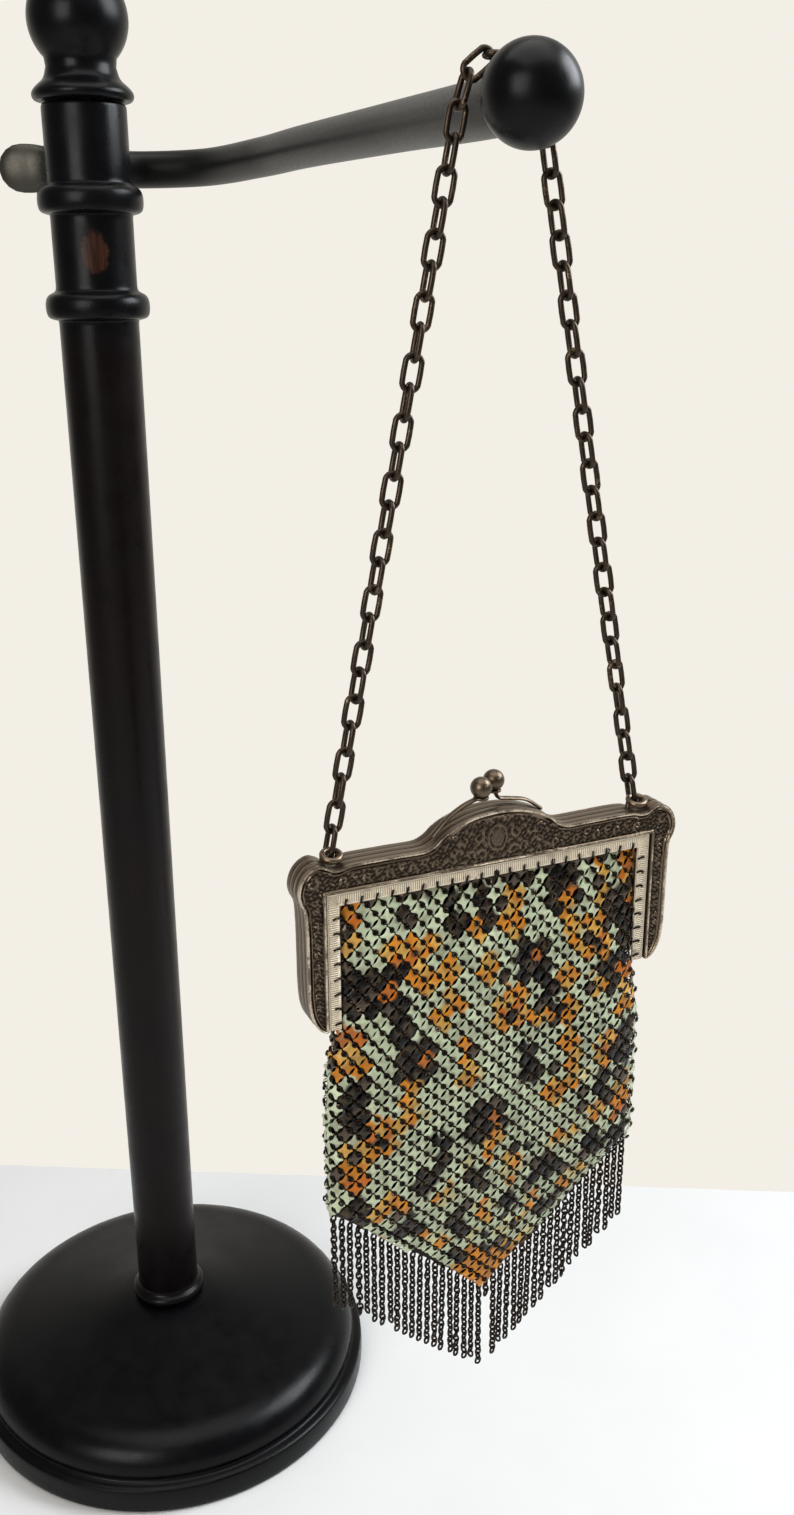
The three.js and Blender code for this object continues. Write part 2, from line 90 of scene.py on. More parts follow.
class Slot(Enum):
    """Names for the material slots of the pieces; the pieces in this script do not use them."""

    STAND = "stand_paint"
    ARM = "arm_metal"
    FRAME = "frame_silver"
    RAIL = "rail_silver"
    MESH = "mesh_enamel"
    RINGS = "ring_bronze"
    CHAIN = "chain_bronze"


def linear(red: int, green: int, blue: int) -> Rgb:
    """Turn display values from 0 to 255 into a shader's linear colour."""
    shares = (red / 255, green / 255, blue / 255)
    return tuple(v / 12.92 if v < 0.0405 else ((v + 0.055) / 1.055) ** 2.4 for v in shares)


# Shader trees


class Tree:
    """A material's node tree, with short calls for the nodes that the finishes share."""

    def __init__(self, name: str) -> None:
        """Start a material with one Principled shader.

        Args:
            name: The material's name.
        """
        self.material = bpy.data.materials.new(name)
        self.material.use_nodes = True
        self.nodes = self.material.node_tree.nodes
        self.links = self.material.node_tree.links
        self.shader = self.nodes["Principled BSDF"]

    def put(self, socket: bpy.types.NodeSocket, value: object) -> None:
        """Link a socket, or set its number or colour.

        Args:
            socket: The input that takes the value.
            value: An output socket, a number or a colour of three values.
        """
        if isinstance(value, bpy.types.NodeSocket):
            self.links.new(value, socket)
        elif isinstance(value, tuple) and len(value) == 3 and socket.type == "RGBA":
            socket.default_value = (*value, 1.0)
        else:
            socket.default_value = value

    def set(self, **inputs: object) -> None:
        """Set the Principled shader's inputs, named with underscores."""
        for name, value in inputs.items():
            self.put(self.shader.inputs[name.replace("_", " ")], value)

    def place(self) -> bpy.types.NodeSocket:
        """Give the Object coordinates."""
        return self.nodes.new("ShaderNodeTexCoord").outputs["Object"]

    def moved(self, centre: Sequence[float], scale: Sequence[float]) -> bpy.types.NodeSocket:
        """Give Object coordinates taken from a centre and stretched.

        Args:
            centre: The point in millimetres that becomes the origin.
            scale: The factor along each axis, per millimetre.

        Returns:
            The mapped vector.
        """
        node = self.nodes.new("ShaderNodeMapping")
        factors = [s / MM for s in scale]
        node.inputs["Scale"].default_value = factors
        node.inputs["Location"].default_value = [-c * MM * f for c, f in zip(centre, factors)]
        self.links.new(self.place(), node.inputs["Vector"])
        return node.outputs["Vector"]

    def noise(
        self, size: float, detail: float = 3.0, rough: float = 0.55, vector: bpy.types.NodeSocket | None = None,
    ) -> bpy.types.NodeSocket:
        """Give a noise value.

        Args:
            size: The size of its blots in millimetres.
            detail: The number of octaves.
            rough: How strong the fine octaves are.
            vector: The coordinates, or the Object coordinates when left out.

        Returns:
            The noise factor from 0 to 1.
        """
        node = self.nodes.new("ShaderNodeTexNoise")
        node.inputs["Scale"].default_value = 1.0 / (size * MM) if vector is None else 1.0 / size
        node.inputs["Detail"].default_value = detail
        node.inputs["Roughness"].default_value = rough
        self.links.new(self.place() if vector is None else vector, node.inputs["Vector"])
        return node.outputs["Fac"]

    def ramp(
        self, value: object, low: float, high: float, at_low: float = 0.0, at_high: float = 1.0,
    ) -> bpy.types.NodeSocket:
        """Map a value from one range to another, held at the ends.

        Args:
            value: The value that is mapped.
            low: Where the range starts.
            high: Where the range ends.
            at_low: What the start becomes.
            at_high: What the end becomes.

        Returns:
            The mapped value.
        """
        node = self.nodes.new("ShaderNodeMapRange")
        node.interpolation_type = "SMOOTHSTEP"
        names = ("Value", "From Min", "From Max", "To Min", "To Max")
        for name, number in zip(names, (value, low, high, at_low, at_high)):
            self.put(node.inputs[name], number)
        return node.outputs["Result"]

    def math(self, operation: str, *values: object) -> bpy.types.NodeSocket:
        """Give the result of a Math node.

        Args:
            operation: The node's operation.
            *values: Its one, two or three inputs.

        Returns:
            The result.
        """
        node = self.nodes.new("ShaderNodeMath")
        node.operation = operation
        for socket, value in zip(node.inputs, values):
            self.put(socket, value)
        return node.outputs["Value"]

    def mix(self, factor: object, one: object, other: object) -> bpy.types.NodeSocket:
        """Mix two colours.

        Args:
            factor: How much of the other shows.
            one: The colour at factor 0.
            other: The colour at factor 1.

        Returns:
            The mixed colour.
        """
        node = self.nodes.new("ShaderNodeMix")
        node.data_type = "RGBA"
        self.put(node.inputs[0], factor)
        self.put(node.inputs[6], one)
        self.put(node.inputs[7], other)
        return node.outputs[2]

    def attribute(self, name: str, output: str = "Fac") -> bpy.types.NodeSocket:
        """Read a mesh attribute.

        Args:
            name: The attribute's name.
            output: Fac for a number, Color for a colour.

        Returns:
            The value.
        """
        node = self.nodes.new("ShaderNodeAttribute")
        node.attribute_name = name
        return node.outputs[output]

    def bump(self, height: bpy.types.NodeSocket, depth: float, strength: float = 0.6) -> None:
        """Raise the surface's fine relief.

        Args:
            height: The height from 0 to 1.
            depth: The relief's depth in millimetres.
            strength: How much of it shows.
        """
        node = self.nodes.new("ShaderNodeBump")
        node.inputs["Distance"].default_value = depth * MM
        node.inputs["Strength"].default_value = strength
        self.links.new(height, node.inputs["Height"])
        self.links.new(node.outputs["Normal"], self.shader.inputs["Normal"])


# Finishes


@dataclass(frozen=True)
class BlackPaint:
    """Satin black paint on turned wood, red-brown low on the pole and rubbed bare in one oval."""

    black: Rgb = (0.0016, 0.0017, 0.0023)
    brown: Rgb = (0.0052, 0.0021, 0.0020)
    wood: Rgb = (0.048, 0.019, 0.010)
    pores: Rgb = (0.022, 0.008, 0.005)
    bare_centre: tuple[float, float, float] = (-2.6, -12.4, 437.2)
    bare_half: tuple[float, float, float] = (4.4, 9.0, 6.6)
    brown_starts: tuple[float, float] = (0.036, 0.046)
    brown_ends: tuple[float, float] = (0.405, 0.418)

    def build(self) -> bpy.types.Material:
        """Build the material.

        Returns:
            The material.
        """
        t = Tree("black_paint")
        cloud = t.noise(38, 4)
        fine = t.noise(1.3, 5, 0.7)
        grain = t.noise(1.0, 4, 0.6, t.moved((0, 0, 0), (0.9, 0.9, 0.06)))
        height = t.nodes.new("ShaderNodeSeparateXYZ")
        t.links.new(t.place(), height.inputs[0])
        low = t.ramp(height.outputs["Z"], *self.brown_ends, 1.0, 0.0)
        above_foot = t.ramp(height.outputs["Z"], *self.brown_starts)
        tint = t.math("MULTIPLY", t.math("MULTIPLY", low, above_foot), t.ramp(cloud, 0.3, 0.7, 0.35, 1.0))
        paint = t.mix(tint, self.black, self.brown)
        spot = t.nodes.new("ShaderNodeVectorMath")
        spot.operation = "LENGTH"
        t.links.new(t.moved(self.bare_centre, [1 / h for h in self.bare_half]), spot.inputs[0])
        edge = t.math("ADD", spot.outputs["Value"], t.ramp(fine, 0.3, 0.7, -0.16, 0.16))
        bare = t.ramp(edge, 0.78, 1.02, 1.0, 0.0)
        timber = t.mix(t.ramp(grain, 0.35, 0.65), self.wood, self.pores)
        satin = t.ramp(t.noise(9, 5, 0.6), 0.25, 0.75, 0.24, 0.38)
        t.set(Base_Color=t.mix(bare, paint, timber), Roughness=satin, Specular_IOR_Level=0.14)
        t.bump(t.math("ADD", t.math("MULTIPLY", fine, 0.5), grain), 0.05, 0.35)
        return t.material


@dataclass(frozen=True)
class ArmEnamel:
    """Dull black-grey enamel on a bent iron tube, grey at its flattened end: partly rubbed to metal, partly a
    painted sheen that stands in for the reflection of the bright room there.
    """

    dark: Rgb = (0.0065, 0.0065, 0.0060)
    scuffed: Rgb = (0.022, 0.021, 0.018)
    grey: Rgb = (0.062, 0.058, 0.048)

    def build(self) -> bpy.types.Material:
        """Build the material.

        Returns:
            The material.
        """
        t = Tree("arm_enamel")
        fine = t.noise(0.8, 5, 0.7)
        wear_and_sheen = t.attribute("wear_and_sheen")
        edge = t.math("ADD", wear_and_sheen, t.ramp(fine, 0.3, 0.7, -0.12, 0.12))
        # The grey at the flattened end is partly rubbed metal and partly painted sheen: a reflection of the
        # bright room painted into the colour.
        bare = t.ramp(edge, 0.35, 0.6)
        enamel = t.mix(t.ramp(fine, 0.55, 0.75), self.dark, self.scuffed)
        t.set(Base_Color=t.mix(bare, enamel, self.grey), Specular_IOR_Level=0.26)
        t.set(Metallic=t.ramp(bare, 0, 1, 0.0, 0.7), Roughness=t.ramp(t.noise(0.7, 4), 0.3, 0.7, 0.36, 0.44))
        t.bump(fine, 0.05, 0.4)
        return t.material


@dataclass(frozen=True)
class AgedSilver:
    """Silver plate with dark sunk grounds, brown patina and bright worn ridges."""

    name: str = "aged_silver"
    ground: Rgb = (0.036, 0.027, 0.019)
    body: Rgb = (0.175, 0.130, 0.090)
    bright: Rgb = (0.64, 0.54, 0.41)

    def build(self) -> bpy.types.Material:
        """Build the material.

        Returns:
            The material.
        """
        t = Tree(self.name)
        raised = t.attribute("raised")
        cloud = t.noise(5.5, 4, 0.6)
        fine = t.noise(0.45, 4, 0.65)
        plate = t.mix(t.ramp(raised, 0.0, 0.6), self.ground, self.body)
        level = t.math("ADD", raised, t.ramp(cloud, 0.3, 0.7, -0.2, 0.16))
        rubbed = t.ramp(t.math("ADD", level, t.ramp(fine, 0.3, 0.7, -0.12, 0.12)), 0.8, 1.06)
        t.set(Base_Color=t.mix(rubbed, plate, self.bright), Metallic=0.93)
        polish = t.math("MULTIPLY", rubbed, 0.08)
        t.set(Roughness=t.math("SUBTRACT", t.ramp(fine, 0.3, 0.7, 0.28, 0.42), polish))
        t.bump(fine, 0.03, 0.35)
        return t.material


@dataclass(frozen=True)
class PaleRail:
    """Pale milled silver with a little tarnish."""

    pale: Rgb = (0.90, 0.80, 0.63)
    stain: Rgb = (0.30, 0.235, 0.165)

    def build(self) -> bpy.types.Material:
        """Build the material.

        Returns:
            The material.
        """
        t = Tree("pale_rail")
        low = t.ramp(t.attribute("raised"), 0.15, 0.75, 1.0, 0.0)
        blot = t.ramp(t.noise(4.5, 4, 0.65), 0.5, 0.72)
        dirt = t.math("MAXIMUM", t.math("MULTIPLY", low, 0.75), t.math("MULTIPLY", blot, 0.6))
        t.set(Base_Color=t.mix(dirt, self.pale, self.stain), Metallic=0.25)
        t.set(Roughness=t.ramp(t.noise(0.8, 3), 0.3, 0.7, 0.3, 0.44))
        return t.material


@dataclass(frozen=True)
class PlateEnamel:
    """Semi-gloss enamel on star plates, chipped and rubbed to dark metal at their folded tips."""

    metal: Rgb = (0.10, 0.078, 0.06)
    grime: Rgb = (0.15, 0.105, 0.055)

    def build(self) -> bpy.types.Material:
        """Build the material.

        Returns:
            The material.
        """
        t = Tree("plate_enamel")
        tint = t.attribute("tint", "Color")
        fine = t.noise(0.32, 4, 0.7)
        blot = t.noise(2.6, 3, 0.6)
        bare = t.ramp(t.math("ADD", t.attribute("bare"), t.ramp(fine, 0.25, 0.75, -0.3, 0.3)), 0.42, 0.62)
        grimed = t.mix(t.ramp(blot, 0.4, 0.68, 0.0, 0.42), tint, self.grime)
        t.set(Base_Color=t.mix(bare, grimed, self.metal), Metallic=t.ramp(bare, 0, 1, 0.0, 0.9))
        t.set(Roughness=t.ramp(blot, 0.3, 0.7, 0.2, 0.34), Specular_IOR_Level=0.22)
        t.bump(t.math("ADD", blot, t.math("MULTIPLY", fine, 0.4)), 0.05, 0.3)
        return t.material


@dataclass(frozen=True)
class Bronze:
    """Tarnished bronze wire, rubbed to a brassy tone in places."""

    name: str
    dark: Rgb
    rubbed: Rgb
    share: float = 0.5

    def build(self) -> bpy.types.Material:
        """Build the material.

        Returns:
            The material.
        """
        t = Tree(self.name)
        cloud = t.noise(3.4, 4, 0.6)
        fine = t.noise(0.35, 4, 0.7)
        level = t.math("ADD", cloud, t.ramp(fine, 0.3, 0.7, -0.1, 0.1))
        wear_and_sheen = t.ramp(level, 0.72 - 0.3 * self.share, 0.9 - 0.3 * self.share)
        t.set(Base_Color=t.mix(wear_and_sheen, self.dark, self.rubbed), Metallic=0.92)
        t.set(Roughness=t.ramp(fine, 0.3, 0.7, 0.3, 0.48))
        t.bump(fine, 0.03, 0.4)
        return t.material


@dataclass(frozen=True)
class Tabletop:
    """A pale matt surface."""

    white: Rgb = (0.70, 0.702, 0.70)
    greyer: Rgb = (0.68, 0.682, 0.68)

    def build(self) -> bpy.types.Material:
        """Build the material.

        Returns:
            The material.
        """
        t = Tree("tabletop")
        t.set(Base_Color=t.mix(t.ramp(t.noise(60, 4), 0.3, 0.7), self.white, self.greyer), Roughness=0.75)
        t.bump(t.noise(3.0, 4), 0.1, 0.15)
        return t.material


# Shapes that several pieces share


def metre_mesh(bm: bmesh.types.BMesh, name: str) -> bpy.types.Mesh:
    """Turn a shape in millimetres into a mesh in metres.

    Args:
        bm: The shape, which is freed.
        name: The mesh's name.

    Returns:
        The mesh.
    """
    bmesh.ops.scale(bm, vec=(MM,) * 3, verts=bm.verts)
    mesh = bpy.data.meshes.new(name)
    bm.to_mesh(mesh)
    bm.free()
    return mesh


def close_up(bm: bmesh.types.BMesh) -> None:
    """Merge a shape's doubled points, fill its open ends and turn its faces outwards.

    Args:
        bm: The shape.
    """
    bmesh.ops.remove_doubles(bm, verts=bm.verts, dist=1e-3)
    bmesh.ops.holes_fill(bm, edges=[e for e in bm.edges if e.is_boundary], sides=0)
    bmesh.ops.recalc_face_normals(bm, faces=bm.faces)


def mark_raised(bm: bmesh.types.BMesh, level: float) -> None:
    """Mark every point of a shape with how far it stands over the sunk grounds.

    Args:
        bm: The shape.
        level: The share from 0 to 1.
    """
    layer = bm.verts.layers.float.new("raised")
    for v in bm.verts:
        v[layer] = level


def add_piece(
    bm: bmesh.types.BMesh, name: str, finish: bpy.types.Material, sharp: float = 40.0,
) -> bpy.types.Object:
    """Make an object of a shape in millimetres, as add_mesh does of a mesh in metres."""
    return add_mesh(metre_mesh(bm, name), name, finish, sharp)


def add_mesh(
    mesh: bpy.types.Mesh, name: str, finish: bpy.types.Material, sharp: float = 40.0,
) -> bpy.types.Object:
    """Make an object of a mesh in metres, and let it ride on the part's one body.

    Args:
        mesh: The mesh.
        name: The piece's name.
        finish: Its material.
        sharp: The angle in degrees above which an edge stays sharp.

    Returns:
        The object.
    """
    mesh.polygons.foreach_set("use_smooth", [True] * len(mesh.polygons))
    mesh.set_sharp_from_angle(angle=math.radians(sharp))
    mesh.materials.append(finish)
    piece = bpy.data.objects.new(name, mesh)
    bpy.context.scene.collection.objects.link(piece)
    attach(piece, BODY)
    triangles = sum(len(p.vertices) - 2 for p in mesh.polygons)
    LOG.info("%s: %d triangles", name, triangles)
    return piece


def rounded(profile: Sequence[tuple[float, float]], limit: float, steps: int = 4) -> list[tuple[float, float]]:
    """Round the corners of an open profile.

    Args:
        profile: Radius and height of each corner.
        limit: The longest cut at a corner, in millimetres.
        steps: The number of short edges that replace a corner.

    Returns:
        The points of the rounded profile.
    """
    points = [Vector(p) for p in profile]
    made = [points[0]]
    for before, corner, after in zip(points, points[1:], points[2:]):
        one = corner + (before - corner) * min(0.49, limit / max((before - corner).length, 1e-6))
        other = corner + (after - corner) * min(0.49, limit / max((after - corner).length, 1e-6))
        for k in range(steps + 1):
            f = k / steps
            made.append(one * (1 - f) ** 2 + corner * 2 * f * (1 - f) + other * f * f)
    made.append(points[-1])
    return [(p.x, p.y) for p in made]


def turned(profile: Sequence[tuple[float, float]], steps: int = 96) -> bmesh.types.BMesh:
    """Spin a profile round the Z axis.

    Args:
        profile: Radius and height of each point, from the axis and back to it.
        steps: The number of facets round the shape.

    Returns:
        The closed shape.
    """
    bm = bmesh.new()
    verts = [bm.verts.new((r, 0.0, z)) for r, z in profile]
    edges = [bm.edges.new(pair) for pair in zip(verts, verts[1:])]
    bmesh.ops.spin(
        bm, geom=verts + edges, cent=(0, 0, 0), axis=(0, 0, 1), angle=2 * math.pi, steps=steps, use_merge=True,
    )
    bmesh.ops.remove_doubles(bm, verts=bm.verts, dist=1e-4)
    bmesh.ops.recalc_face_normals(bm, faces=bm.faces)
    return bm


def ring_shape(radius: float, wire: float, around: int, sides: int, stretch: float = 0.0) -> bmesh.types.BMesh:
    """Make a wire ring that stands in the X-Z plane.

    Args:
        radius: The radius of the wire's centre line.
        wire: The radius of the wire.
        around: The number of steps round the ring.
        sides: The number of sides of the wire.
        stretch: Half the length of straight wire put between its upper and lower half.

    Returns:
        The closed ring.
    """
    bm = bmesh.new()
    spin_round = Matrix.Translation((radius, 0, 0))
    bmesh.ops.create_circle(bm, segments=sides, radius=wire, matrix=spin_round)
    geom = bm.verts[:] + bm.edges[:]
    bmesh.ops.rotate(bm, verts=bm.verts, cent=(radius, 0, 0), matrix=Matrix.Rotation(0.31, 3, "Z"))
    bmesh.ops.spin(
        bm, geom=geom, cent=(0, 0, 0), axis=(0, 1, 0), angle=2 * math.pi, steps=around, use_merge=True,
    )
    bmesh.ops.remove_doubles(bm, verts=bm.verts, dist=1e-4)
    if stretch:
        upper = [v for v in bm.verts if v.co.z > 1e-3]
        lower = [v for v in bm.verts if v.co.z < -1e-3]
        bmesh.ops.translate(bm, verts=upper, vec=(0, 0, stretch))
        bmesh.ops.translate(bm, verts=lower, vec=(0, 0, -stretch))
    bmesh.ops.recalc_face_normals(bm, faces=bm.faces)
    return bm


@dataclass
class Stamp:
    """A small shape that one mesh repeats at many places."""

    points: np.ndarray
    faces: list[tuple[int, ...]]
    marks: np.ndarray

    @classmethod
    def of(cls, bm: bmesh.types.BMesh, mark: Callable[[Vector], float] = lambda p: 0.0) -> Stamp:
        """Take a shape's points and faces, and free it.

        Args:
            bm: The shape in millimetres.
            mark: A function that gives each point's mark, such as how bare it is.

        Returns:
            The stamp.
        """
        bm.verts.ensure_lookup_table()
        bm.verts.index_update()
        points = np.array([v.co[:] for v in bm.verts])
        faces = [tuple(v.index for v in f.verts) for f in bm.faces]
        marks = np.array([mark(v.co) for v in bm.verts])
        bm.free()
        return cls(points, faces, marks)

    def repeat(self, name: str, places: np.ndarray, turns: np.ndarray) -> bpy.types.Mesh:
        """Make one mesh of the stamp at each place.

        Args:
            name: The mesh's name.
            places: The n points in millimetres.
            turns: The n 3 by 3 matrices whose columns are the stamp's axes there.

        Returns:
            The mesh in metres.
        """
        spots = np.einsum("nij,vj->nvi", turns, self.points) + places[:, None, :]
        count = len(self.points)
        faces = [tuple(k * count + i for i in f) for k in range(len(places)) for f in self.faces]
        mesh = bpy.data.meshes.new(name)
        mesh.from_pydata((spots.reshape(-1, 3) * MM).tolist(), [], faces)
        return mesh


def put_values(mesh: bpy.types.Mesh, name: str, values: np.ndarray) -> None:
    """Store a number, or a colour of four values, on each point of a mesh.

    Args:
        mesh: The mesh.
        name: The attribute's name.
        values: One number or one row of four for each point.
    """
    colour = values.ndim == 2
    attribute = mesh.attributes.new(name, "FLOAT_COLOR" if colour else "FLOAT", "POINT")
    attribute.data.foreach_set("color" if colour else "value", values.astype(np.float32).ravel())


def swept(
    route: Sequence[Sequence[float]], radius: Callable[[float], float], sides: int = 12,
) -> bmesh.types.BMesh:
    """Sweep a round wire along a route.

    Args:
        route: The points of the centre line.
        radius: The wire's radius at a share of the route from 0 to 1.
        sides: The number of sides of the wire.

    Returns:
        The closed wire.
    """
    bm = bmesh.new()
    points = [Vector(p) for p in route]
    loops = []
    turn = before = None
    for k, p in enumerate(points):
        along = (points[min(k + 1, len(points) - 1)] - points[max(k - 1, 0)]).normalized()
        turn = before.rotation_difference(along) @ turn if turn else along.to_track_quat("Z", "Y")
        before = along
        made = bmesh.ops.create_circle(
            bm, cap_ends=k in (0, len(points) - 1), segments=sides,
            radius=radius(k / (len(points) - 1)), matrix=Matrix.Translation(p) @ turn.to_matrix().to_4x4(),
        )
        loops.append(list({e for v in made["verts"] for e in v.link_edges}))
    for one, other in zip(loops, loops[1:]):
        bmesh.ops.bridge_loops(bm, edges=one + other)
    bmesh.ops.recalc_face_normals(bm, faces=bm.faces)
    return bm


def spline(points: Sequence[Sequence[float]], steps: int) -> list[Vector]:
    """Run a smooth curve through a few points.

    Args:
        points: The points that the curve passes.
        steps: The number of steps on each stretch.

    Returns:
        The points of the curve.
    """
    p = [Vector(q) for q in points]
    p = [p[0] * 2 - p[1], *p, p[-1] * 2 - p[-2]]
    made = []
    for a, b, c, d in zip(p, p[1:], p[2:], p[3:]):
        knots = [0.0]
        for one, other in ((a, b), (b, c), (c, d)):
            knots.append(knots[-1] + max((other - one).length ** 0.5, 1e-4))
        for k in range(steps):
            made.append(catmull(a, b, c, d, knots, knots[1] + (knots[2] - knots[1]) * k / steps))
    made.append(p[-2])
    return made


def catmull(a: Vector, b: Vector, c: Vector, d: Vector, knots: list[float], t: float) -> Vector:
    """Give one point of a centripetal curve between the second and the third point.

    Args:
        a: The first point.
        b: The second point.
        c: The third point.
        d: The fourth point.
        knots: The four knots of the points.
        t: The knot of the wanted point.

    Returns:
        The point.
    """
    k0, k1, k2, k3 = knots
    one = a * ((k1 - t) / (k1 - k0)) + b * ((t - k0) / (k1 - k0))
    two = b * ((k2 - t) / (k2 - k1)) + c * ((t - k1) / (k2 - k1))
    three = c * ((k3 - t) / (k3 - k2)) + d * ((t - k2) / (k3 - k2))
    left = one * ((k2 - t) / (k2 - k0)) + two * ((t - k0) / (k2 - k0))
    right = two * ((k3 - t) / (k3 - k1)) + three * ((t - k1) / (k3 - k1))
    return left * ((k2 - t) / (k2 - k1)) + right * ((t - k1) / (k2 - k1))


def smooth(edge0: float, edge1: float, x: np.ndarray) -> np.ndarray:
    """Give a smooth step from 0 at edge0 to 1 at edge1."""
    t = np.clip((x - edge0) / (edge1 - edge0), 0.0, 1.0)
    return t * t * (3 - 2 * t)


# The stand


@dataclass
class Stand:
    """The turned foot, pole and finial, and the bent arm with its ball."""

    base_radius: float = 79.5
    base_height: float = 35.6
    pole_radius: float = 12.7
    pole_top: float = 480.45
    finial_radius: float = 15.2
    arm_radius: float = 5.65
    ball_radius: float = 9.44
    flat_length: float = 15.0
    tongue: float = 7.5
    wear_and_sheen_length: float = 12.0
    gap: float = 0.3
    paint: bpy.types.Material = field(default_factory=lambda: BlackPaint().build())
    enamel: bpy.types.Material = field(default_factory=lambda: ArmEnamel().build())
    arm_route: tuple[tuple[float, float, float], ...] = (
        (-15.4, 26.4, 463.6), (4.0, 19.0, 463.5), (22.4, 15.8, 463.4), (38.6, 2.0, 463.6),
        (46.6, -30.0, 464.3), (47.4, -62.0, 464.4), (42.2, -138.6, 462.2), (32.8, -206.0, 459.2),
        (31.6, -221.0, 459.4),
    )

    def base(self) -> None:
        """Turn the foot: a band, a groove, a round shoulder and a shallow cone."""
        r, h = self.base_radius, self.base_height
        table = (
            (0.0, 0.0), (0.985, 0.0), (1.0, 0.03), (1.0, 0.27), (0.987, 0.3), (0.946, 0.315), (0.953, 0.4),
            (0.941, 0.5), (0.905, 0.61), (0.84, 0.695), (0.735, 0.735), (0.4, 0.88),
            (0.184, 1.0), (0.0, 1.0),
        )
        profile = rounded([(a * r, b * h) for a, b in table], 5.0, 5)
        piece = add_piece(turned(profile, 128), "stand_foot", self.paint, 50)
        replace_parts(piece, "stand_base")

    def collar(self, z: float) -> list[tuple[float, float]]:
        """Give the profile of one turned ring, from its foot up."""
        shares = ((1.05, 0), (1.24, 0.7), (1.295, 2.6), (1.295, 5.8), (1.22, 7.7), (1.06, 8.6))
        return [(share * self.pole_radius, z + up) for share, up in shares]

    def column(self) -> None:
        """Turn the pole with its three rings, and add the saddle that the arm rests on."""
        p, foot = self.pole_radius, self.base_height + self.gap
        low, middle = 0.868 * self.pole_top, 0.9336 * self.pole_top
        profile = [
            (0, foot), (1.02 * p, foot), (1.13 * p, foot + 1.2), (1.13 * p, foot + 3.4),
            (0.94 * p, foot + 4.8), (0.935 * p, foot + 30), (0.998 * p, low), *self.collar(low),
            (1.008 * p, low + 9.4), (1.012 * p, middle), *self.collar(middle),
            (1.024 * p, middle + 9.4), (1.024 * p, self.pole_top), (0, self.pole_top),
        ]
        bm = turned(rounded(profile, 1.6, 4), 96)
        reach = 1.024 * p + self.gap + self.arm_radius + 4
        top = self.arm_route[1][2] - self.arm_radius - self.gap
        saddle = Matrix.Translation((2, (reach + 6) / 2, top - 1.6)) @ Matrix.Diagonal((9, reach - 6, 3.2, 1))
        made = bmesh.ops.create_cube(bm, size=1, matrix=saddle)
        edges = list({e for v in made["verts"] for e in v.link_edges})
        bmesh.ops.bevel(bm, geom=edges, offset=0.9, offset_type="OFFSET", segments=3, profile=0.5,
                        affect="EDGES", material=-1)
        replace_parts(add_piece(bm, "stand_pole", self.paint, 50), "stand_column")

    def finial(self) -> None:
        """Turn the cap, its neck and the ball on top."""
        r, z = self.finial_radius, self.pole_top + self.gap
        neck = [(0, 0), (0.95, 0), (1.02, 1.0), (1.02, 2.6), (0.93, 4.2), (0.76, 6.2), (0.7, 9.6)]
        centre = 22.8
        angles = [math.radians(-44 + 134 * k / 26) for k in range(27)]
        globe = [(r * math.cos(a), z + centre + r * math.sin(a)) for a in angles]
        profile = rounded([(a * r, z + b) for a, b in neck], 1.6, 4) + globe[:-1] + [(0, z + centre + r)]
        piece = add_piece(turned(profile, 96), "stand_cap", self.paint, 60)
        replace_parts(piece, "stand_finial")

    def arm(self) -> None:
        """Bend the arm's tube, flatten its end behind the pole and put the ball on the other end."""
        route = spline(self.arm_route, 20)
        bm = swept(route, lambda s: self.arm_radius, 24)
        start = Vector(self.arm_route[0])
        along = (Vector(self.arm_route[1]) - start).normalized()
        across = Vector((-along.y, along.x, 0))
        near = [v for v in bm.verts if (v.co - start).length < 2 * self.flat_length]
        for v in (v for v in near if (v.co - start).dot(along) < self.flat_length):
            offset = v.co - start
            t = offset.dot(along)
            k = float(smooth(self.flat_length, 2.0, np.array(t)))
            side, up = offset.dot(across), offset.z
            v.co = start + along * t + across * side * (1 - 0.6 * k) + Vector((0, 0, up * (1 + 0.3 * k)))
        caps = [f for f in bm.faces if len(f.verts) > 4 and (f.calc_center_median() - start).length < 2]
        for k in range(1, 5):
            made = bmesh.ops.extrude_face_region(bm, geom=caps)
            verts = [v for v in made["geom"] if isinstance(v, bmesh.types.BMVert)]
            bmesh.ops.delete(bm, geom=caps, context="FACES_ONLY")
            caps = [f for f in made["geom"] if isinstance(f, bmesh.types.BMFace)]
            angle, last = (math.pi / 2 * n / 4.4 for n in (k, k - 1))
            reach = math.sin(angle) - math.sin(last)
            bmesh.ops.translate(bm, verts=verts, vec=-along * self.tongue * reach)
            centre = sum((v.co for v in verts), Vector()) / len(verts)
            shrink = math.cos(angle) / math.cos(last)
            bmesh.ops.scale(bm, verts=verts, vec=(shrink,) * 3, space=Matrix.Translation(-centre))
        bmesh.ops.recalc_face_normals(bm, faces=bm.faces)
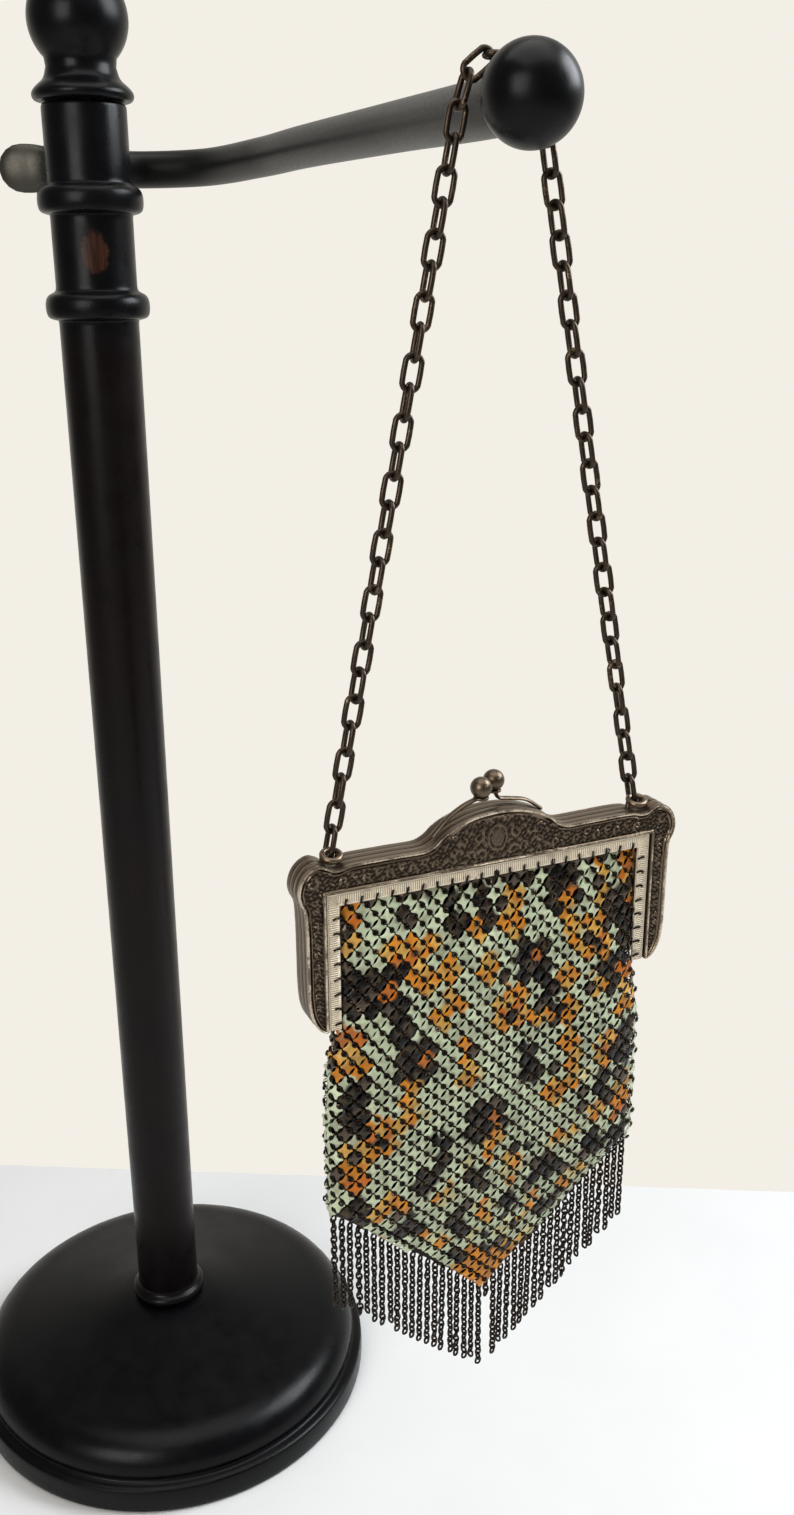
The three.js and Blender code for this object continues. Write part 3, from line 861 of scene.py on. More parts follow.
        # Mark the flattened end for its grey: partly rubbed metal, partly a painted sheen standing in for the
        # reflection of the bright room.
        forward = np.array([(v.co - start).dot(along) for v in bm.verts])
        wear_and_sheen = 1.0 - smooth(0.0, self.wear_and_sheen_length, forward)
        beside = np.array([(v.co - start).length < 40 for v in bm.verts])
        piece = add_piece(bm, "stand_bent_arm", self.enamel, 50)
        put_values(piece.data, "wear_and_sheen", wear_and_sheen * beside)
        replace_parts(piece, "stand_arm")
        x, y, z = self.arm_route[-1]
        r = self.ball_radius
        angles = [math.pi * (k / 48 - 0.5) for k in range(1, 48)]
        profile = [(0, -r), *((r * math.cos(a), r * math.sin(a)) for a in angles), (0, r)]
        ball = turned(profile, 72)
        bmesh.ops.rotate(ball, verts=ball.verts, cent=(0, 0, 0), matrix=Matrix.Rotation(math.pi / 2, 3, "X"))
        bmesh.ops.translate(ball, verts=ball.verts, vec=(x, y, z))
        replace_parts(add_piece(ball, "arm_end_ball", self.paint, 60), "arm_ball")

    def build(self) -> None:
        """Build every piece of the stand."""
        self.base()
        self.column()
        self.finial()
        self.arm()


# The frame of the purse


def frame_outline() -> np.ndarray:
    """Give the outer edge of a frame half, from the left foot over the arch to the right foot.

    Returns:
        The points, as distance from the middle and height over the opening.
    """
    w, a, b, leg = OPENING_HALF, ARCH_HEIGHT, BAR_HEIGHT, LEG_LENGTH
    half = [
        (0.0, a), (0.08 * w, 0.985 * a), (0.15 * w, 0.95 * a), (0.22 * w, 0.88 * a), (0.28 * w, 0.8 * a),
        (0.33 * w, 0.7 * a), (0.365 * w, 0.6 * a), (0.395 * w, 1.08 * b), (0.43 * w, b), (0.6 * w, b),
        (0.83 * w, b), (0.88 * w, 0.97 * b), (0.92 * w, 0.9 * b), (0.965 * w, 0.92 * b), (w, 1.05 * b),
        (1.04 * w, 1.14 * b), (1.09 * w, 1.03 * b), (1.135 * w, 0.7 * b), (1.155 * w, 0.24 * b),
        (1.147 * w, -0.1 * b), (1.125 * w, -0.08 * leg), (1.117 * w, -0.2 * leg), (1.115 * w, -0.45 * leg),
        (1.112 * w, -0.74 * leg), (1.096 * w, -0.87 * leg), (1.056 * w, -0.96 * leg), (1.02 * w, -0.99 * leg),
    ]
    left = [(-x, z) for x, z in reversed(half[1:])]
    return np.array(spline([(x, 0, z) for x, z in left + half], 12))[:, [0, 2]]


def resample(points: np.ndarray, count: int) -> np.ndarray:
    """Spread points evenly along a polyline.

    Args:
        points: The n corners.
        count: The number of even points.

    Returns:
        The even points.
    """
    lengths = np.concatenate([[0], np.cumsum(np.linalg.norm(np.diff(points, axis=0), axis=1))])
    at = np.linspace(0, lengths[-1], count)
    return np.stack([np.interp(at, lengths, points[:, k]) for k in range(points.shape[1])], 1)


def bead(distance: np.ndarray, centre: float, half: float, power: float = 0.5) -> np.ndarray:
    """Give the height, from 0 to 1, of a round bead of a half width that runs at a distance."""
    return np.clip(1 - ((distance - centre) / half) ** 2, 0, 1) ** power


@dataclass(frozen=True)
class Relief:
    """The stamped ornament of the frame: scrolls, leaves and an oval."""

    curl_steps: int = 26
    curl_shrinks: float = 0.75
    stroke: float = 0.78
    soft: float = 0.6
    leaf_level: float = 0.85
    rib_depth: float = 0.45
    rib_half: float = 0.09
    oval_half: tuple[float, float] = (1.9, 2.5)

    def curls(self) -> list[tuple[float, float, float, float, float, float]]:
        """List the curls as centre x and z, radius, start, sweep and stroke width.

        Returns:
            One row for each curl.
        """
        b, a = BAR_HEIGHT, ARCH_HEIGHT
        arch = (
            (3.9, 0.22 * a, 1.5, 0.6, 5.2, 0.5), (7.0, 0.26 * a, 1.3, 3.6, -5.0, 0.45),
            (4.9, 0.56 * a, 1.5, 2.4, 5.2, 0.5), (8.3, 0.55 * a, 1.2, 0.2, -4.8, 0.42),
            (2.6, 0.83 * a, 0.95, 3.4, -4.4, 0.38), (11.2, 0.36 * a, 1.1, 2.6, 4.8, 0.4),
            (6.4, 0.8 * a, 0.85, 0.3, 4.6, 0.34), (10.9, 0.62 * a, 0.75, 3.3, -4.4, 0.3),
        )
        made = []
        for side in (1, -1):
            for x, z, r, start, sweep, width in arch:
                made.append((side * x, z, r, start if side > 0 else math.pi - start, side * sweep, width))
            for k in range(9):
                start, sweep = (0.7, 5.2) if k % 2 else (3.8, -5.2)
                made.append((side * (15.2 + 2.75 * k), (0.42 + 0.12 * (k % 2)) * b, 1.0, start, sweep, 0.38))
            for k in range(11):
                start = 0.4 if k % 2 else 3.6
                made.append((side * 1.058 * OPENING_HALF, -1.2 - 2.5 * k, 0.75, start, 5.0, 0.32))
            made.append((side * 1.075 * OPENING_HALF, 0.5 * b, 1.5, 0.9, side * 5.6, 0.5))
        return made

    def leaves(self) -> list[tuple[float, float, float, float, float]]:
        """List the leaves as centre x and z, half length, half width and angle.

        Returns:
            One row for each leaf.
        """
        b, a = BAR_HEIGHT, ARCH_HEIGHT
        arch = (
            (2.9, 0.42, 1.1, 0.5, 0.5), (5.9, 0.38, 1.2, 0.5, 2.4), (6.7, 0.66, 1.1, 0.45, 0.2),
            (3.6, 0.7, 1.0, 0.45, 2.0), (9.2, 0.36, 1.2, 0.5, 0.9), (9.6, 0.5, 0.9, 0.4, 2.7),
            (8.6, 0.14, 1.3, 0.5, 0.1), (5.4, 0.1, 1.2, 0.45, 0.2), (12.9, 0.22, 1.3, 0.5, 2.6),
            (12.8, 0.5, 0.9, 0.4, 2.2), (1.6, 0.16, 1.0, 0.45, 1.0), (4.6, 0.92, 0.9, 0.35, 2.8),
            (10.6, 0.2, 1.1, 0.45, 2.0), (7.9, 0.74, 0.8, 0.35, 2.4),
        )
        made = []
        for side in (1, -1):
            for x, z, length, width, angle in arch:
                made.append((side * x, z * a, length, width, angle if side > 0 else math.pi - angle))
            for k in range(18):
                tilt = 0.7 if k % 2 else 2.4
                made.append((side * (14.4 + 1.38 * k), (0.28 + 0.42 * (k % 2)) * b, 0.75, 0.34, tilt))
            for k in range(12):
                x = side * (1.045 + 0.03 * (k % 2)) * OPENING_HALF
                made.append((x, -2.4 - 2.4 * k, 0.7, 0.3, 0.8 + 1.5 * (k % 2)))
        return made

    def height(self, x: np.ndarray, z: np.ndarray) -> np.ndarray:
        """Give the ornament's height from 0 to 1.

        Args:
            x: The points' distances from the middle.
            z: Their heights over the opening.

        Returns:
            The heights.
        """
        made = np.zeros_like(x)
        for cx, cz, radius, start, sweep, width in self.curls():
            near = (np.abs(x - cx) < 2 * radius + 1) & (np.abs(z - cz) < 2 * radius + 1)
            if not near.any():
                continue
            t = np.linspace(0, 1, self.curl_steps)
            r = radius * (1 - self.curl_shrinks * t)
            px, pz = cx + r * np.cos(start + sweep * t), cz + r * np.sin(start + sweep * t)
            stroke = self.stroke * width * (1.05 - 0.4 * t)
            d = np.hypot(x[near, None] - px, z[near, None] - pz) / stroke
            made[near] = np.maximum(made[near], bead(d.min(1), 0.0, 1.0, self.soft))
        for cx, cz, length, width, angle in self.leaves():
            along = (x - cx) * math.cos(angle) + (z - cz) * math.sin(angle)
            across = (z - cz) * math.cos(angle) - (x - cx) * math.sin(angle)
            shape = np.clip(1 - (along / length) ** 2 - (across / width) ** 2, 0, 1) ** 0.5
            rib = 1 - self.rib_depth * np.exp(-((across / self.rib_half) ** 2))
            made = np.maximum(made, self.leaf_level * shape * rib)
        oval = np.hypot(x / self.oval_half[0], (z - 0.5 * ARCH_HEIGHT) / self.oval_half[1])
        made = np.where(oval < 1.4, made * 0.2, made)
        made = np.maximum(made, 0.5 * smooth(1.0, 0.8, oval))
        return np.maximum(made, 0.9 * bead(oval, 1.2, 0.13, self.soft))


@dataclass
class FrameHalf:
    """One stamped half of the frame, swept as one closed section along its outline."""

    side: int
    stations: int = 760
    relief: Relief = field(default_factory=Relief)
    face_columns: int = 30
    inner_bead: tuple[float, float] = (0.42, 0.42)
    outer_bead: tuple[float, float] = (0.25, 0.62)
    second_bead: tuple[float, float] = (1.25, 0.26)

    def section(self) -> list[tuple[str, float]]:
        """List the section's points as a stretch and the share along it.

        Returns:
            The points in the order of the closed section.
        """
        face = [("face", k / (self.face_columns - 1)) for k in range(self.face_columns)]
        top = [("top", k / 11) for k in range(1, 12)]
        back = [("back", k / 3) for k in range(1, 4)]
        return [*face, *top, *back, ("wall", 0.5)]

    def face_height(self, d_in: np.ndarray, d_out: np.ndarray, x: np.ndarray, z: np.ndarray) -> np.ndarray:
        """Give the height of the stamped face over its sunk ground, from 0 to 1.

        Args:
            d_in: The distances from the inner edge.
            d_out: The distances from the outer edge.
            x: The points' distances from the middle.
            z: Their heights over the opening.

        Returns:
            The heights.
        """
        inner, outer = bead(d_in, *self.inner_bead), bead(d_out, *self.outer_bead)
        second = 0.75 * bead(d_out, *self.second_bead)
        inside = smooth(0.85, 1.15, d_in) * smooth(1.45, 1.75, d_out)
        worms = (1 + np.sin(x * 5.3 + 2.2 * np.sin(z * 2.6))) * (1 + np.sin(z * 5.9 + 1.9 * np.sin(x * 2.2)))
        ornament = np.maximum(0.68 * self.relief.height(x, z), 0.15 * worms) * inside
        return np.maximum.reduce([inner, outer, second, ornament])

    def build(self, finish: bpy.types.Material) -> bpy.types.Object:
        """Build the half and give its object.

        Args:
            finish: The silver.

        Returns:
            The piece.
        """
        outer = resample(frame_outline(), self.stations)
        inner = np.stack([np.clip(outer[:, 0], -OPENING_HALF, OPENING_HALF), np.minimum(outer[:, 1], 0.0)], 1)
        inner[:, 1] = np.maximum(inner[:, 1], -LEG_LENGTH)
        normal = outer - inner
        width = np.linalg.norm(normal, axis=1)
        normal /= np.maximum(width, 1e-6)[:, None]
        section = self.section()
        bm = bmesh.new()
        bmesh.ops.create_grid(bm, x_segments=self.stations - 1, y_segments=len(section), size=1)
        grid = np.array([v.co[:2] for v in bm.verts])
        station = np.rint((grid[:, 0] + 1) / 2 * (self.stations - 1)).astype(int)
        column = np.rint((grid[:, 1] + 1) / 2 * len(section)).astype(int) % len(section)
        at, raised = np.zeros((len(grid), 3)), np.zeros(len(grid))
        deep, high, rim = 0.55, 0.62, HALF_DEPTH - 0.25
        for k, (stretch, share) in enumerate(section):
            here = column == k
            s = station[here]
            i, o, n, w = inner[s], outer[s], normal[s], width[s]
            if stretch == "face":
                p = i + (o - i) * share
                level = self.face_height(w * share, w * (1 - share), p[:, 0], p[:, 1])
                depth = np.full(len(s), HALF_DEPTH - deep) + high * level
                if share == 0:
                    depth[:] = rim
                raised[here] = level
            elif stretch == "top":
                wave = 0.5 * math.cos(2 * math.pi * 1.5 * share) + 0.25 * math.cos(2 * math.pi * 4 * share)
                p = o + n * (-0.06 + 0.2 * wave * math.sin(math.pi * share))
                depth = np.full(len(s), (HALF_DEPTH - 0.35) * (1 - share) + SEAM * share)
                raised[here] = 0.5 + 0.4 * wave
            elif stretch == "back":
                p = o + (i - o) * share
                depth = np.full(len(s), SEAM)
                raised[here] = 0.3
            else:
                p = i.copy()
                depth = np.full(len(s), SEAM + (rim - SEAM) * share)
                raised[here] = 0.3
            at[here] = np.stack([p[:, 0], self.side * depth, p[:, 1]], 1)
        for v, co in zip(bm.verts, at + PURSE):
            v.co = co
        layer = bm.verts.layers.float.new("raised")
        for v, level in zip(bm.verts, raised):
            v[layer] = float(level)
        close_up(bm)
        name = "frame_half_front" if self.side < 0 else "frame_half_back"
        return add_piece(bm, name, finish, 60)


@dataclass
class Catch:
    """The two knobs of the catch, each on its own sprung strap."""

    ball_radius: float = 2.45
    height: float = 18.1

    def knob(self, x: float, y: float) -> bmesh.types.BMesh:
        """Turn a knob with its small nipple in front and its flange below.

        Args:
            x: How far it stands from the middle.
            y: How far it stands from the middle plane.

        Returns:
            The shape in its place.
        """
        r = self.ball_radius
        angles = [math.pi * (k / 20 - 0.5) for k in range(1, 19)]
        profile = [(0, -r), *((r * math.cos(a), r * math.sin(a)) for a in angles)]
        profile += [(0.42, r * 0.985), (0.36, r + 0.22), (0.2, r + 0.34), (0, r + 0.36)]
        bm = turned(profile, 28)
        bmesh.ops.rotate(bm, verts=bm.verts, cent=(0, 0, 0), matrix=Matrix.Rotation(math.radians(68), 3, "X"))
        flange = turned(rounded([(0, -0.3), (1.75, -0.3), (1.75, 0.3), (0, 0.3)], 0.2, 3), 28)
        bmesh.ops.translate(flange, verts=flange.verts, vec=(0, 0, -r + 0.05))
        join(bm, flange)
        bmesh.ops.translate(bm, verts=bm.verts, vec=Vector(PURSE) + Vector((x, y, self.height)))
        return bm

    def strap(
        self, route: Sequence[Sequence[float]], wide: float = 1.7, thick: float = 0.85,
    ) -> bmesh.types.BMesh:
        """Bend a half-round strap along a route of the purse.

        Args:
            route: The points that it passes, measured from the middle of the frame.
            wide: How many times its half width is the wire's.
            thick: How many times its half thickness is the wire's.

        Returns:
            The shape in its place.
        """
        points = [p + Vector(PURSE) for p in spline(route, 8)]
        bm = swept(points, lambda s: 0.5, 12)
        frames = [(points[max(k - 1, 0)], points[min(k + 1, len(points) - 1)]) for k in range(len(points))]
        for v in bm.verts:
            k = min(range(len(points)), key=lambda n: (points[n] - v.co).length_squared)
            along = (frames[k][1] - frames[k][0]).normalized()
            across = Vector((0, 1, 0))
            up = along.cross(across).normalized()
            offset = v.co - points[k]
            v.co = points[k] + across * offset.dot(across) * wide + up * offset.dot(up) * thick
        return bm

    def build(self, finish: bpy.types.Material) -> None:
        """Build both knobs with their straps.

        Args:
            finish: The silver.
        """
        a = ARCH_HEIGHT
        one = self.knob(-3.6, -1.5)
        rising = [(-15.6, -1.5, 0.68 * a), (-12.2, -1.5, 0.94 * a), (-8.2, -1.5, 1.14 * a)]
        join(one, self.strap([*rising, (-3.7, -1.5, 1.27 * a)]))
        other = self.knob(1.25, 1.7)
        lying = [(13.6, 1.7, 0.74 * a), (9.6, 1.7, 0.96 * a), (5.4, 1.7, 1.04 * a)]
        join(other, self.strap([*lying, (2.4, 1.7, 1.1 * a), (1.4, 1.7, 1.27 * a)]))
        for bm, name in ((one, "catch_front"), (other, "catch_back")):
            mark_raised(bm, 0.35)
            add_piece(bm, name, finish, 45)


def join(bm: bmesh.types.BMesh, other: bmesh.types.BMesh) -> None:
    """Add a second shape to the first one, and free it.

    Args:
        bm: The shape that grows.
        other: The shape that is added.
    """
    mesh = bpy.data.meshes.new("part_of_a_piece")
    other.to_mesh(mesh)
    other.free()
    bm.from_mesh(mesh)
    bpy.data.meshes.remove(mesh)


@dataclass
class PurseFrame:
    """Both halves, the catch, the eyes for the chain and the milled rails."""

    eye_x: float = 38.8
    eye_y: float = 0.0
    eye_z: float = 7.7
    eye_radius: float = 1.95
    eye_wire: float = 0.7
    eye_tilt: float = 1.3
    tooth_pitch: float = 0.52
    tooth_cut: float = 0.2
    rail_sunk: float = 0.55
    rail_edge: float = 0.22
    silver: bpy.types.Material = field(default_factory=lambda: AgedSilver().build())
    pale: bpy.types.Material = field(default_factory=lambda: PaleRail().build())

    def eyes(self) -> None:
        """Build the two eyes with the collars that they stand on."""
        bm = bmesh.new()
        for side in (1, -1):
            ring = ring_shape(self.eye_radius, self.eye_wire, 28, 12)
            lean = Matrix.Rotation(-self.eye_tilt, 3, "X")
            bmesh.ops.rotate(ring, verts=ring.verts, cent=(0, 0, 0), matrix=lean)
            bmesh.ops.translate(ring, verts=ring.verts, vec=(0, self.eye_y, self.eye_z))
            for end in (-1, 1):
                low, high = 0.8 * BAR_HEIGHT, self.eye_z
                at = (end * 0.9 * self.eye_radius, self.eye_y + 0.42 * self.eye_radius, (low + high) / 2)
                bmesh.ops.create_cone(ring, cap_ends=True, segments=16, radius1=0.8, radius2=0.55,
                                      depth=high - low, matrix=Matrix.Translation(at))
            bmesh.ops.translate(ring, verts=ring.verts, vec=Vector(PURSE) + Vector((side * self.eye_x, 0, 0)))
            join(bm, ring)
        mark_raised(bm, 0.6)
        add_piece(bm, "chain_eyes", self.silver, 60)

    def rail(self, side: int) -> None:
        """Build one half's rail, milled across its face and mitred at the corners.

        Args:
            side: -1 for the front and 1 for the back.
        """
        out, leg = OPENING_HALF - RAIL_GAP, LEG_LENGTH
        outer = np.array([(-out, -0.99 * leg), (-out, -RAIL_GAP), (out, -RAIL_GAP), (out, -0.99 * leg)])
        teeth = (np.linalg.norm(np.diff(outer, axis=0), axis=1) / self.tooth_pitch).astype(int)
        bars = [resample(outer[k:k + 2], 2 + 4 * int(teeth[k])) for k in range(3)]
        route = np.concatenate([bars[0], bars[1][1:], bars[2][1:]])
        inside = out - RAIL_WIDTH
        under = np.minimum(route[:, 1], -RAIL_WIDTH - RAIL_GAP)
        inner = np.stack([np.clip(route[:, 0], -inside, inside), under], 1)
        tooth = np.arange(len(route)) % 4
        shares = (0.0, 0.1, 0.14, 0.5, 0.86, 0.9, 1.0, 1.0, 0.0)
        levels = (0.0, 0.0, 1.0, 1.0, 1.0, 0.35, 0.35, -3.4, -3.4)
        bm = bmesh.new()
        bmesh.ops.create_grid(bm, x_segments=len(route) - 1, y_segments=len(shares), size=1)
        layer = bm.verts.layers.float.new("raised")
        face = HALF_DEPTH - self.rail_sunk - self.rail_edge
        for v in bm.verts:
            s = round((v.co.x + 1) / 2 * (len(route) - 1))
            k = round((v.co.y + 1) / 2 * len(shares)) % len(shares)
            cut = self.tooth_cut if tooth[s] in (1, 2) and levels[k] == 1.0 else 0.0
            p = route[s] + (inner[s] - route[s]) * shares[k]
            v[layer] = 0.25 if cut else (1.0 if levels[k] > 0 else 0.6)
            v.co = Vector(PURSE) + Vector((p[0], side * (face + self.rail_edge * levels[k] - cut), p[1]))
        close_up(bm)
        name = "front" if side < 0 else "back"
        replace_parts(add_piece(bm, f"milled_rail_{name}", self.pale, 35), f"rail_{name}")

    def build(self) -> None:
        """Build the frame's pieces."""
        front = FrameHalf(-1).build(self.silver)
        back = FrameHalf(1).build(self.silver)
        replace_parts(front, "frame_front")
        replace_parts(back, "frame_back")
        Catch().build(self.silver)
        self.eyes()
        for side in (-1, 1):
            self.rail(side)


# The mesh bag


class Enamel(Enum):
    """The colours of the plates, and bare metal."""

    MINT = linear(192, 203, 172)
    PALE = linear(204, 196, 146)
    OCHRE = linear(204, 158, 78)
    ORANGE = linear(206, 130, 36)
    RUST = linear(190, 104, 30)
    BLACK = linear(13, 12, 14)
    BARE = linear(62, 51, 41)


# Motifs charted on the diagonal lattice: k black, o orange, r rust, y ochre, p pale.
ROSETTE = (".oy.", "oyry", "yrko", ".yo.")
POPPY = (".kk.", "kkrk", "kkkk", ".kk.")
LEAF = ("kk..", ".kkk", "..kk")
SPRAY = ("oy..", "yo..", "..yo", "..oy")
BUD = ("yo", "oy")
VINE = ("oy..", ".oyp", "..yo")
LETTERS = {"k": Enamel.BLACK, "o": Enamel.ORANGE, "r": Enamel.RUST, "y": Enamel.OCHRE, "p": Enamel.PALE}


@dataclass(frozen=True)
class EnamelPattern:
    """A generic floral design over a fan of rays, with chequered borders."""

    placed: tuple[tuple[tuple[str, ...], int, int], ...] = (
        (LEAF, -8, 0), (POPPY, 8, 0), (VINE, 14, 1), (SPRAY, 2, 1), (ROSETTE, -14, 4), (BUD, -4, 4),
        (POPPY, 3, 7), (ROSETTE, 12, 6), (SPRAY, -8, 8), (LEAF, -15, 11), (BUD, 8, 12), (POPPY, 16, 11),
        (ROSETTE, 0, 12), (POPPY, -11, 16), (SPRAY, 9, 16), (LEAF, 3, 20), (ROSETTE, 14, 20),
        (VINE, -5, 18), (ROSETTE, -15, 24), (LEAF, 13, 26), (POPPY, -3, 25), (BUD, 6, 26), (LEAF, -9, 29),
        (POPPY, -17, 7), (LEAF, -4, 0), (POPPY, 17, 3), (LEAF, 6, 13), (SPRAY, -11, 5), (VINE, 8, 4),
        (BUD, -8, 13), (BUD, 4, 16), (VINE, 9, 22), (SPRAY, -1, 30), (BUD, 1, 4), (VINE, -12, 21),
        (BUD, 13, 14), (SPRAY, 12, 30), (BUD, -3, 9),
    )
    fan_row: float = 51.0
    fan_top: int = 33
    ray_degrees: float = 17.0
    heart: float = 4.5
    border_from: float = 1.6
    border_to: float = 8.0
    border_rows: int = 14

    def chart(self) -> dict[tuple[int, int], Enamel]:
        """Lay the motifs on the lattice.

        Returns:
            The enamel of each charted column and row.
        """
        made = {}
        for motif, i0, j0 in self.placed:
            i0 += (i0 + j0 + 1) % 2
            for a, line in enumerate(motif):
                for b, letter in enumerate(line):
                    if letter in LETTERS:
                        made[(i0 + b - a, j0 + a + b)] = LETTERS[letter]
        return made

    def fan(self, i: int, j: int) -> Enamel:
        """Give the colour of a plate in the rays round the tip.

        Args:
            i: The plate's column, counted from the middle.
            j: Its row, counted from the top.

        Returns:
            The enamel.
        """
        dx, dz = i, (self.fan_row - j) * 1.04
        reach = math.hypot(dx, dz)
        ray, inside = divmod((math.degrees(math.atan2(dx, dz)) + 120) / self.ray_degrees, 1)
        if reach < self.heart:
            return Enamel.ORANGE if (i + j) % 4 else Enamel.RUST
        bands = ((self.heart, 8.4, 0), (9.2, 13.0, 1), (14.0, 17.8, 0), (18.8, 22.4, 1))
        for low, high, odd in bands:
            if low <= reach < high and 0.16 < inside < 0.78:
                if ray % 2 == odd:
                    return Enamel.BLACK
                return (Enamel.ORANGE, Enamel.OCHRE, Enamel.ORANGE, Enamel.PALE)[int(reach) % 4]
        return Enamel.MINT

    def border(self, edge: float, j: int) -> Enamel | None:
        """Give the colour of a plate in the side borders, or none outside them.

        Args:
            edge: How far the plate stands from the bag's edge.
            j: Its row, counted from the top.

        Returns:
            The enamel, or none.
        """
        if not self.border_from < edge < self.border_to:
            return None
        step = j % self.border_rows
        if step < 6:
            return (Enamel.ORANGE, Enamel.RUST, Enamel.OCHRE)[(j // 2) % 3]
        return Enamel.BLACK if 7 <= step < 13 else None


@dataclass(frozen=True)
class Wear:
    """How far the plates' enamel is worn, chipped and run."""

    bare_share: float = 0.03
    bare_by_rail: float = 0.6
    rail_reach: float = 2.6
    leg_reach: float = 3.0
    shade_spread: float = 0.1
    run_share: float = 0.6
    bare_level: float = 0.75
    chipped_share: float = 0.15
    chipped_level: float = 0.12


@dataclass
class MeshBag:
    """Two faces of star plates joined by rings, on one lattice that runs round the bag."""

    columns: int = 84
    row: float = 2.17
    top: float = RAIL_WIDTH + RAIL_GAP + 0.4
    pattern: EnamelPattern = field(default_factory=EnamelPattern)
    wear: Wear = field(default_factory=Wear)
    enamel: bpy.types.Material = field(default_factory=lambda: PlateEnamel().build())
    bronze: bpy.types.Material = field(
        default_factory=lambda: Bronze("ring_bronze", RING_BROWN, RING_RUBBED, 0.42).build()
    )
    seam_room: float = 0.9
    plate_lift: float = 0.16
    ring_lift: float = 0.3
    ring_across: float = 0.98
    ring_up: float = 1.08
    roundness: float = 0.62
    seed: int = 17

    def half_width(self, z: np.ndarray) -> np.ndarray:
        """Give the bag's half width at a height under the opening."""
        share = np.interp(-z, [3.3, 33.0, 36.0, 48.0, 64.0, 84.0], [0.925, 0.928, 0.945, 0.993, 1.0, 1.0])
        return share * BAG_HALF

    def depth(self, z: np.ndarray, front: bool) -> np.ndarray:
        """Give how far a face stands from the middle plane at its fullest.

        Args:
            z: The heights under the opening.
            front: Whether it is the front face.

        Returns:
            The distances.
        """
        at = [3.3, 13.0, 25.0, 33.3, 48.0, 64.0, 81.0, 84.0]
        upper = [0.36, 0.62, 0.86, 0.94, 1.0] if front else [0.36, 0.55, 0.72, 0.84, 0.95]
        return np.interp(-z, at, [*upper, 0.98, 0.88, 0.86]) * BAG_DEPTH

    def fold(self, x: np.ndarray, z: np.ndarray) -> np.ndarray:
        """Give the soft vertical folds of the hanging mesh, strongest at mid height.

        Args:
            x: The points' distances from the middle.
            z: Their heights under the opening.

        Returns:
            How far each point stands out.
        """
        along = np.sin(np.pi * np.clip(-z / SIDE_DROP, 0, 1)) * 0.9 + 0.1
        soft = 0.45 * np.cos(x / 4.6 + 0.5) + 0.3 * np.cos(x / 9.5 - z / 30)
        pucker = 0.35 * np.sin(x * 0.9 + 1.0) * np.exp(-(-z - 3) / 7.0)
        return along * soft + pucker

    def surface(self, share: np.ndarray, z: np.ndarray) -> np.ndarray:
        """Give points on the bag.

        Args:
            share: The share of the way round, from the left edge over the front to the right and back.
            z: The heights under the opening.

        Returns:
            The points, measured from the middle of the frame.
        """
        share = np.mod(share, 1.0)
        front = share < 0.5
        across = np.where(front, share * 2, 2 - share * 2)
        level = np.maximum(z, -SIDE_DROP)
        w = self.half_width(level)
        d = np.where(front, self.depth(level, True), self.depth(level, False))
        a = np.linspace(0, np.pi, 181)
        cx, cy = -np.sign(np.cos(a)) * np.abs(np.cos(a)) ** self.roundness, np.sin(a) ** self.roundness
        x, y = np.empty_like(w), np.empty_like(w)
        for k in range(len(w)):
            px, py = w[k] * cx, d[k] * cy
            length = np.concatenate([[0], np.cumsum(np.hypot(np.diff(px), np.diff(py)))])
            at = across[k] * length[-1]
            x[k], y[k] = np.interp(at, length, px), np.interp(at, length, py)
        below = np.clip(-z - SIDE_DROP, 0, None)
        room = np.maximum((TIP_DROP - SIDE_DROP) * (1 - np.abs(x) / BAG_HALF), 1e-3)
        close = np.clip(1 - below / room, 0.0, 1.0) ** 0.6
        wave = self.fold(x, z) * np.clip(y / BAG_DEPTH * 1.5, 0, 1)
        out = np.maximum(y * close + wave * close, 0.25)
        return np.stack([x, np.where(front, -out, out), z], 1)

    def lattice(self) -> tuple[np.ndarray, np.ndarray]:
        """List the columns and rows of the diagonal lattice, whose sums are even.

        Returns:
            The columns and the rows.
        """
        rows = int((TIP_DROP - self.top) / self.row) + 1
        pairs = [(i, j) for j in range(rows) for i in range(self.columns) if (i + j) % 2 == 0]
        return np.array([p[0] for p in pairs]), np.array([p[1] for p in pairs])

    def placed(self, rng: np.random.Generator) -> dict[str, np.ndarray]:
        """Place the lattice's points on the bag, with their axes.

        Args:
            rng: The random source of the small tilts.

        Returns:
            The arrays i, j, at, turn and edge.
        """
        i, j = self.lattice()
        share = (i + 0.5) / self.columns
        z = -(self.top + j * self.row)
        at = self.surface(share, z)
        step = 1e-3
        across = self.surface(share + step, z) - self.surface(share - step, z)
        down = self.surface(share, z + 0.3) - self.surface(share, z - 0.3)
        u = across / np.linalg.norm(across, axis=1)[:, None]
        n = np.cross(u, down)
        n /= np.linalg.norm(n, axis=1)[:, None]
        seam = -TIP_DROP + np.abs(at[:, 0]) / BAG_HALF * (TIP_DROP - SIDE_DROP)
        keep = at[:, 2] > seam + self.seam_room
        i, j, at, u, n = i[keep], j[keep], at[keep], u[keep], n[keep]
        loose = 0.05 + 0.2 * np.exp(at[:, 2] / 9.0) + 0.1 * smooth(33, 40, np.abs(at[:, 0]))
        n = n + rng.normal(0, 1, n.shape) * loose[:, None]
        n /= np.linalg.norm(n, axis=1)[:, None]
        u = u - n * np.sum(u * n, axis=1)[:, None]
        u /= np.linalg.norm(u, axis=1)[:, None]
        v = np.cross(n, u)
        return {"i": i, "j": j, "at": at, "turn": np.stack([u, v, n], 2), "edge": BAG_HALF - np.abs(at[:, 0])}

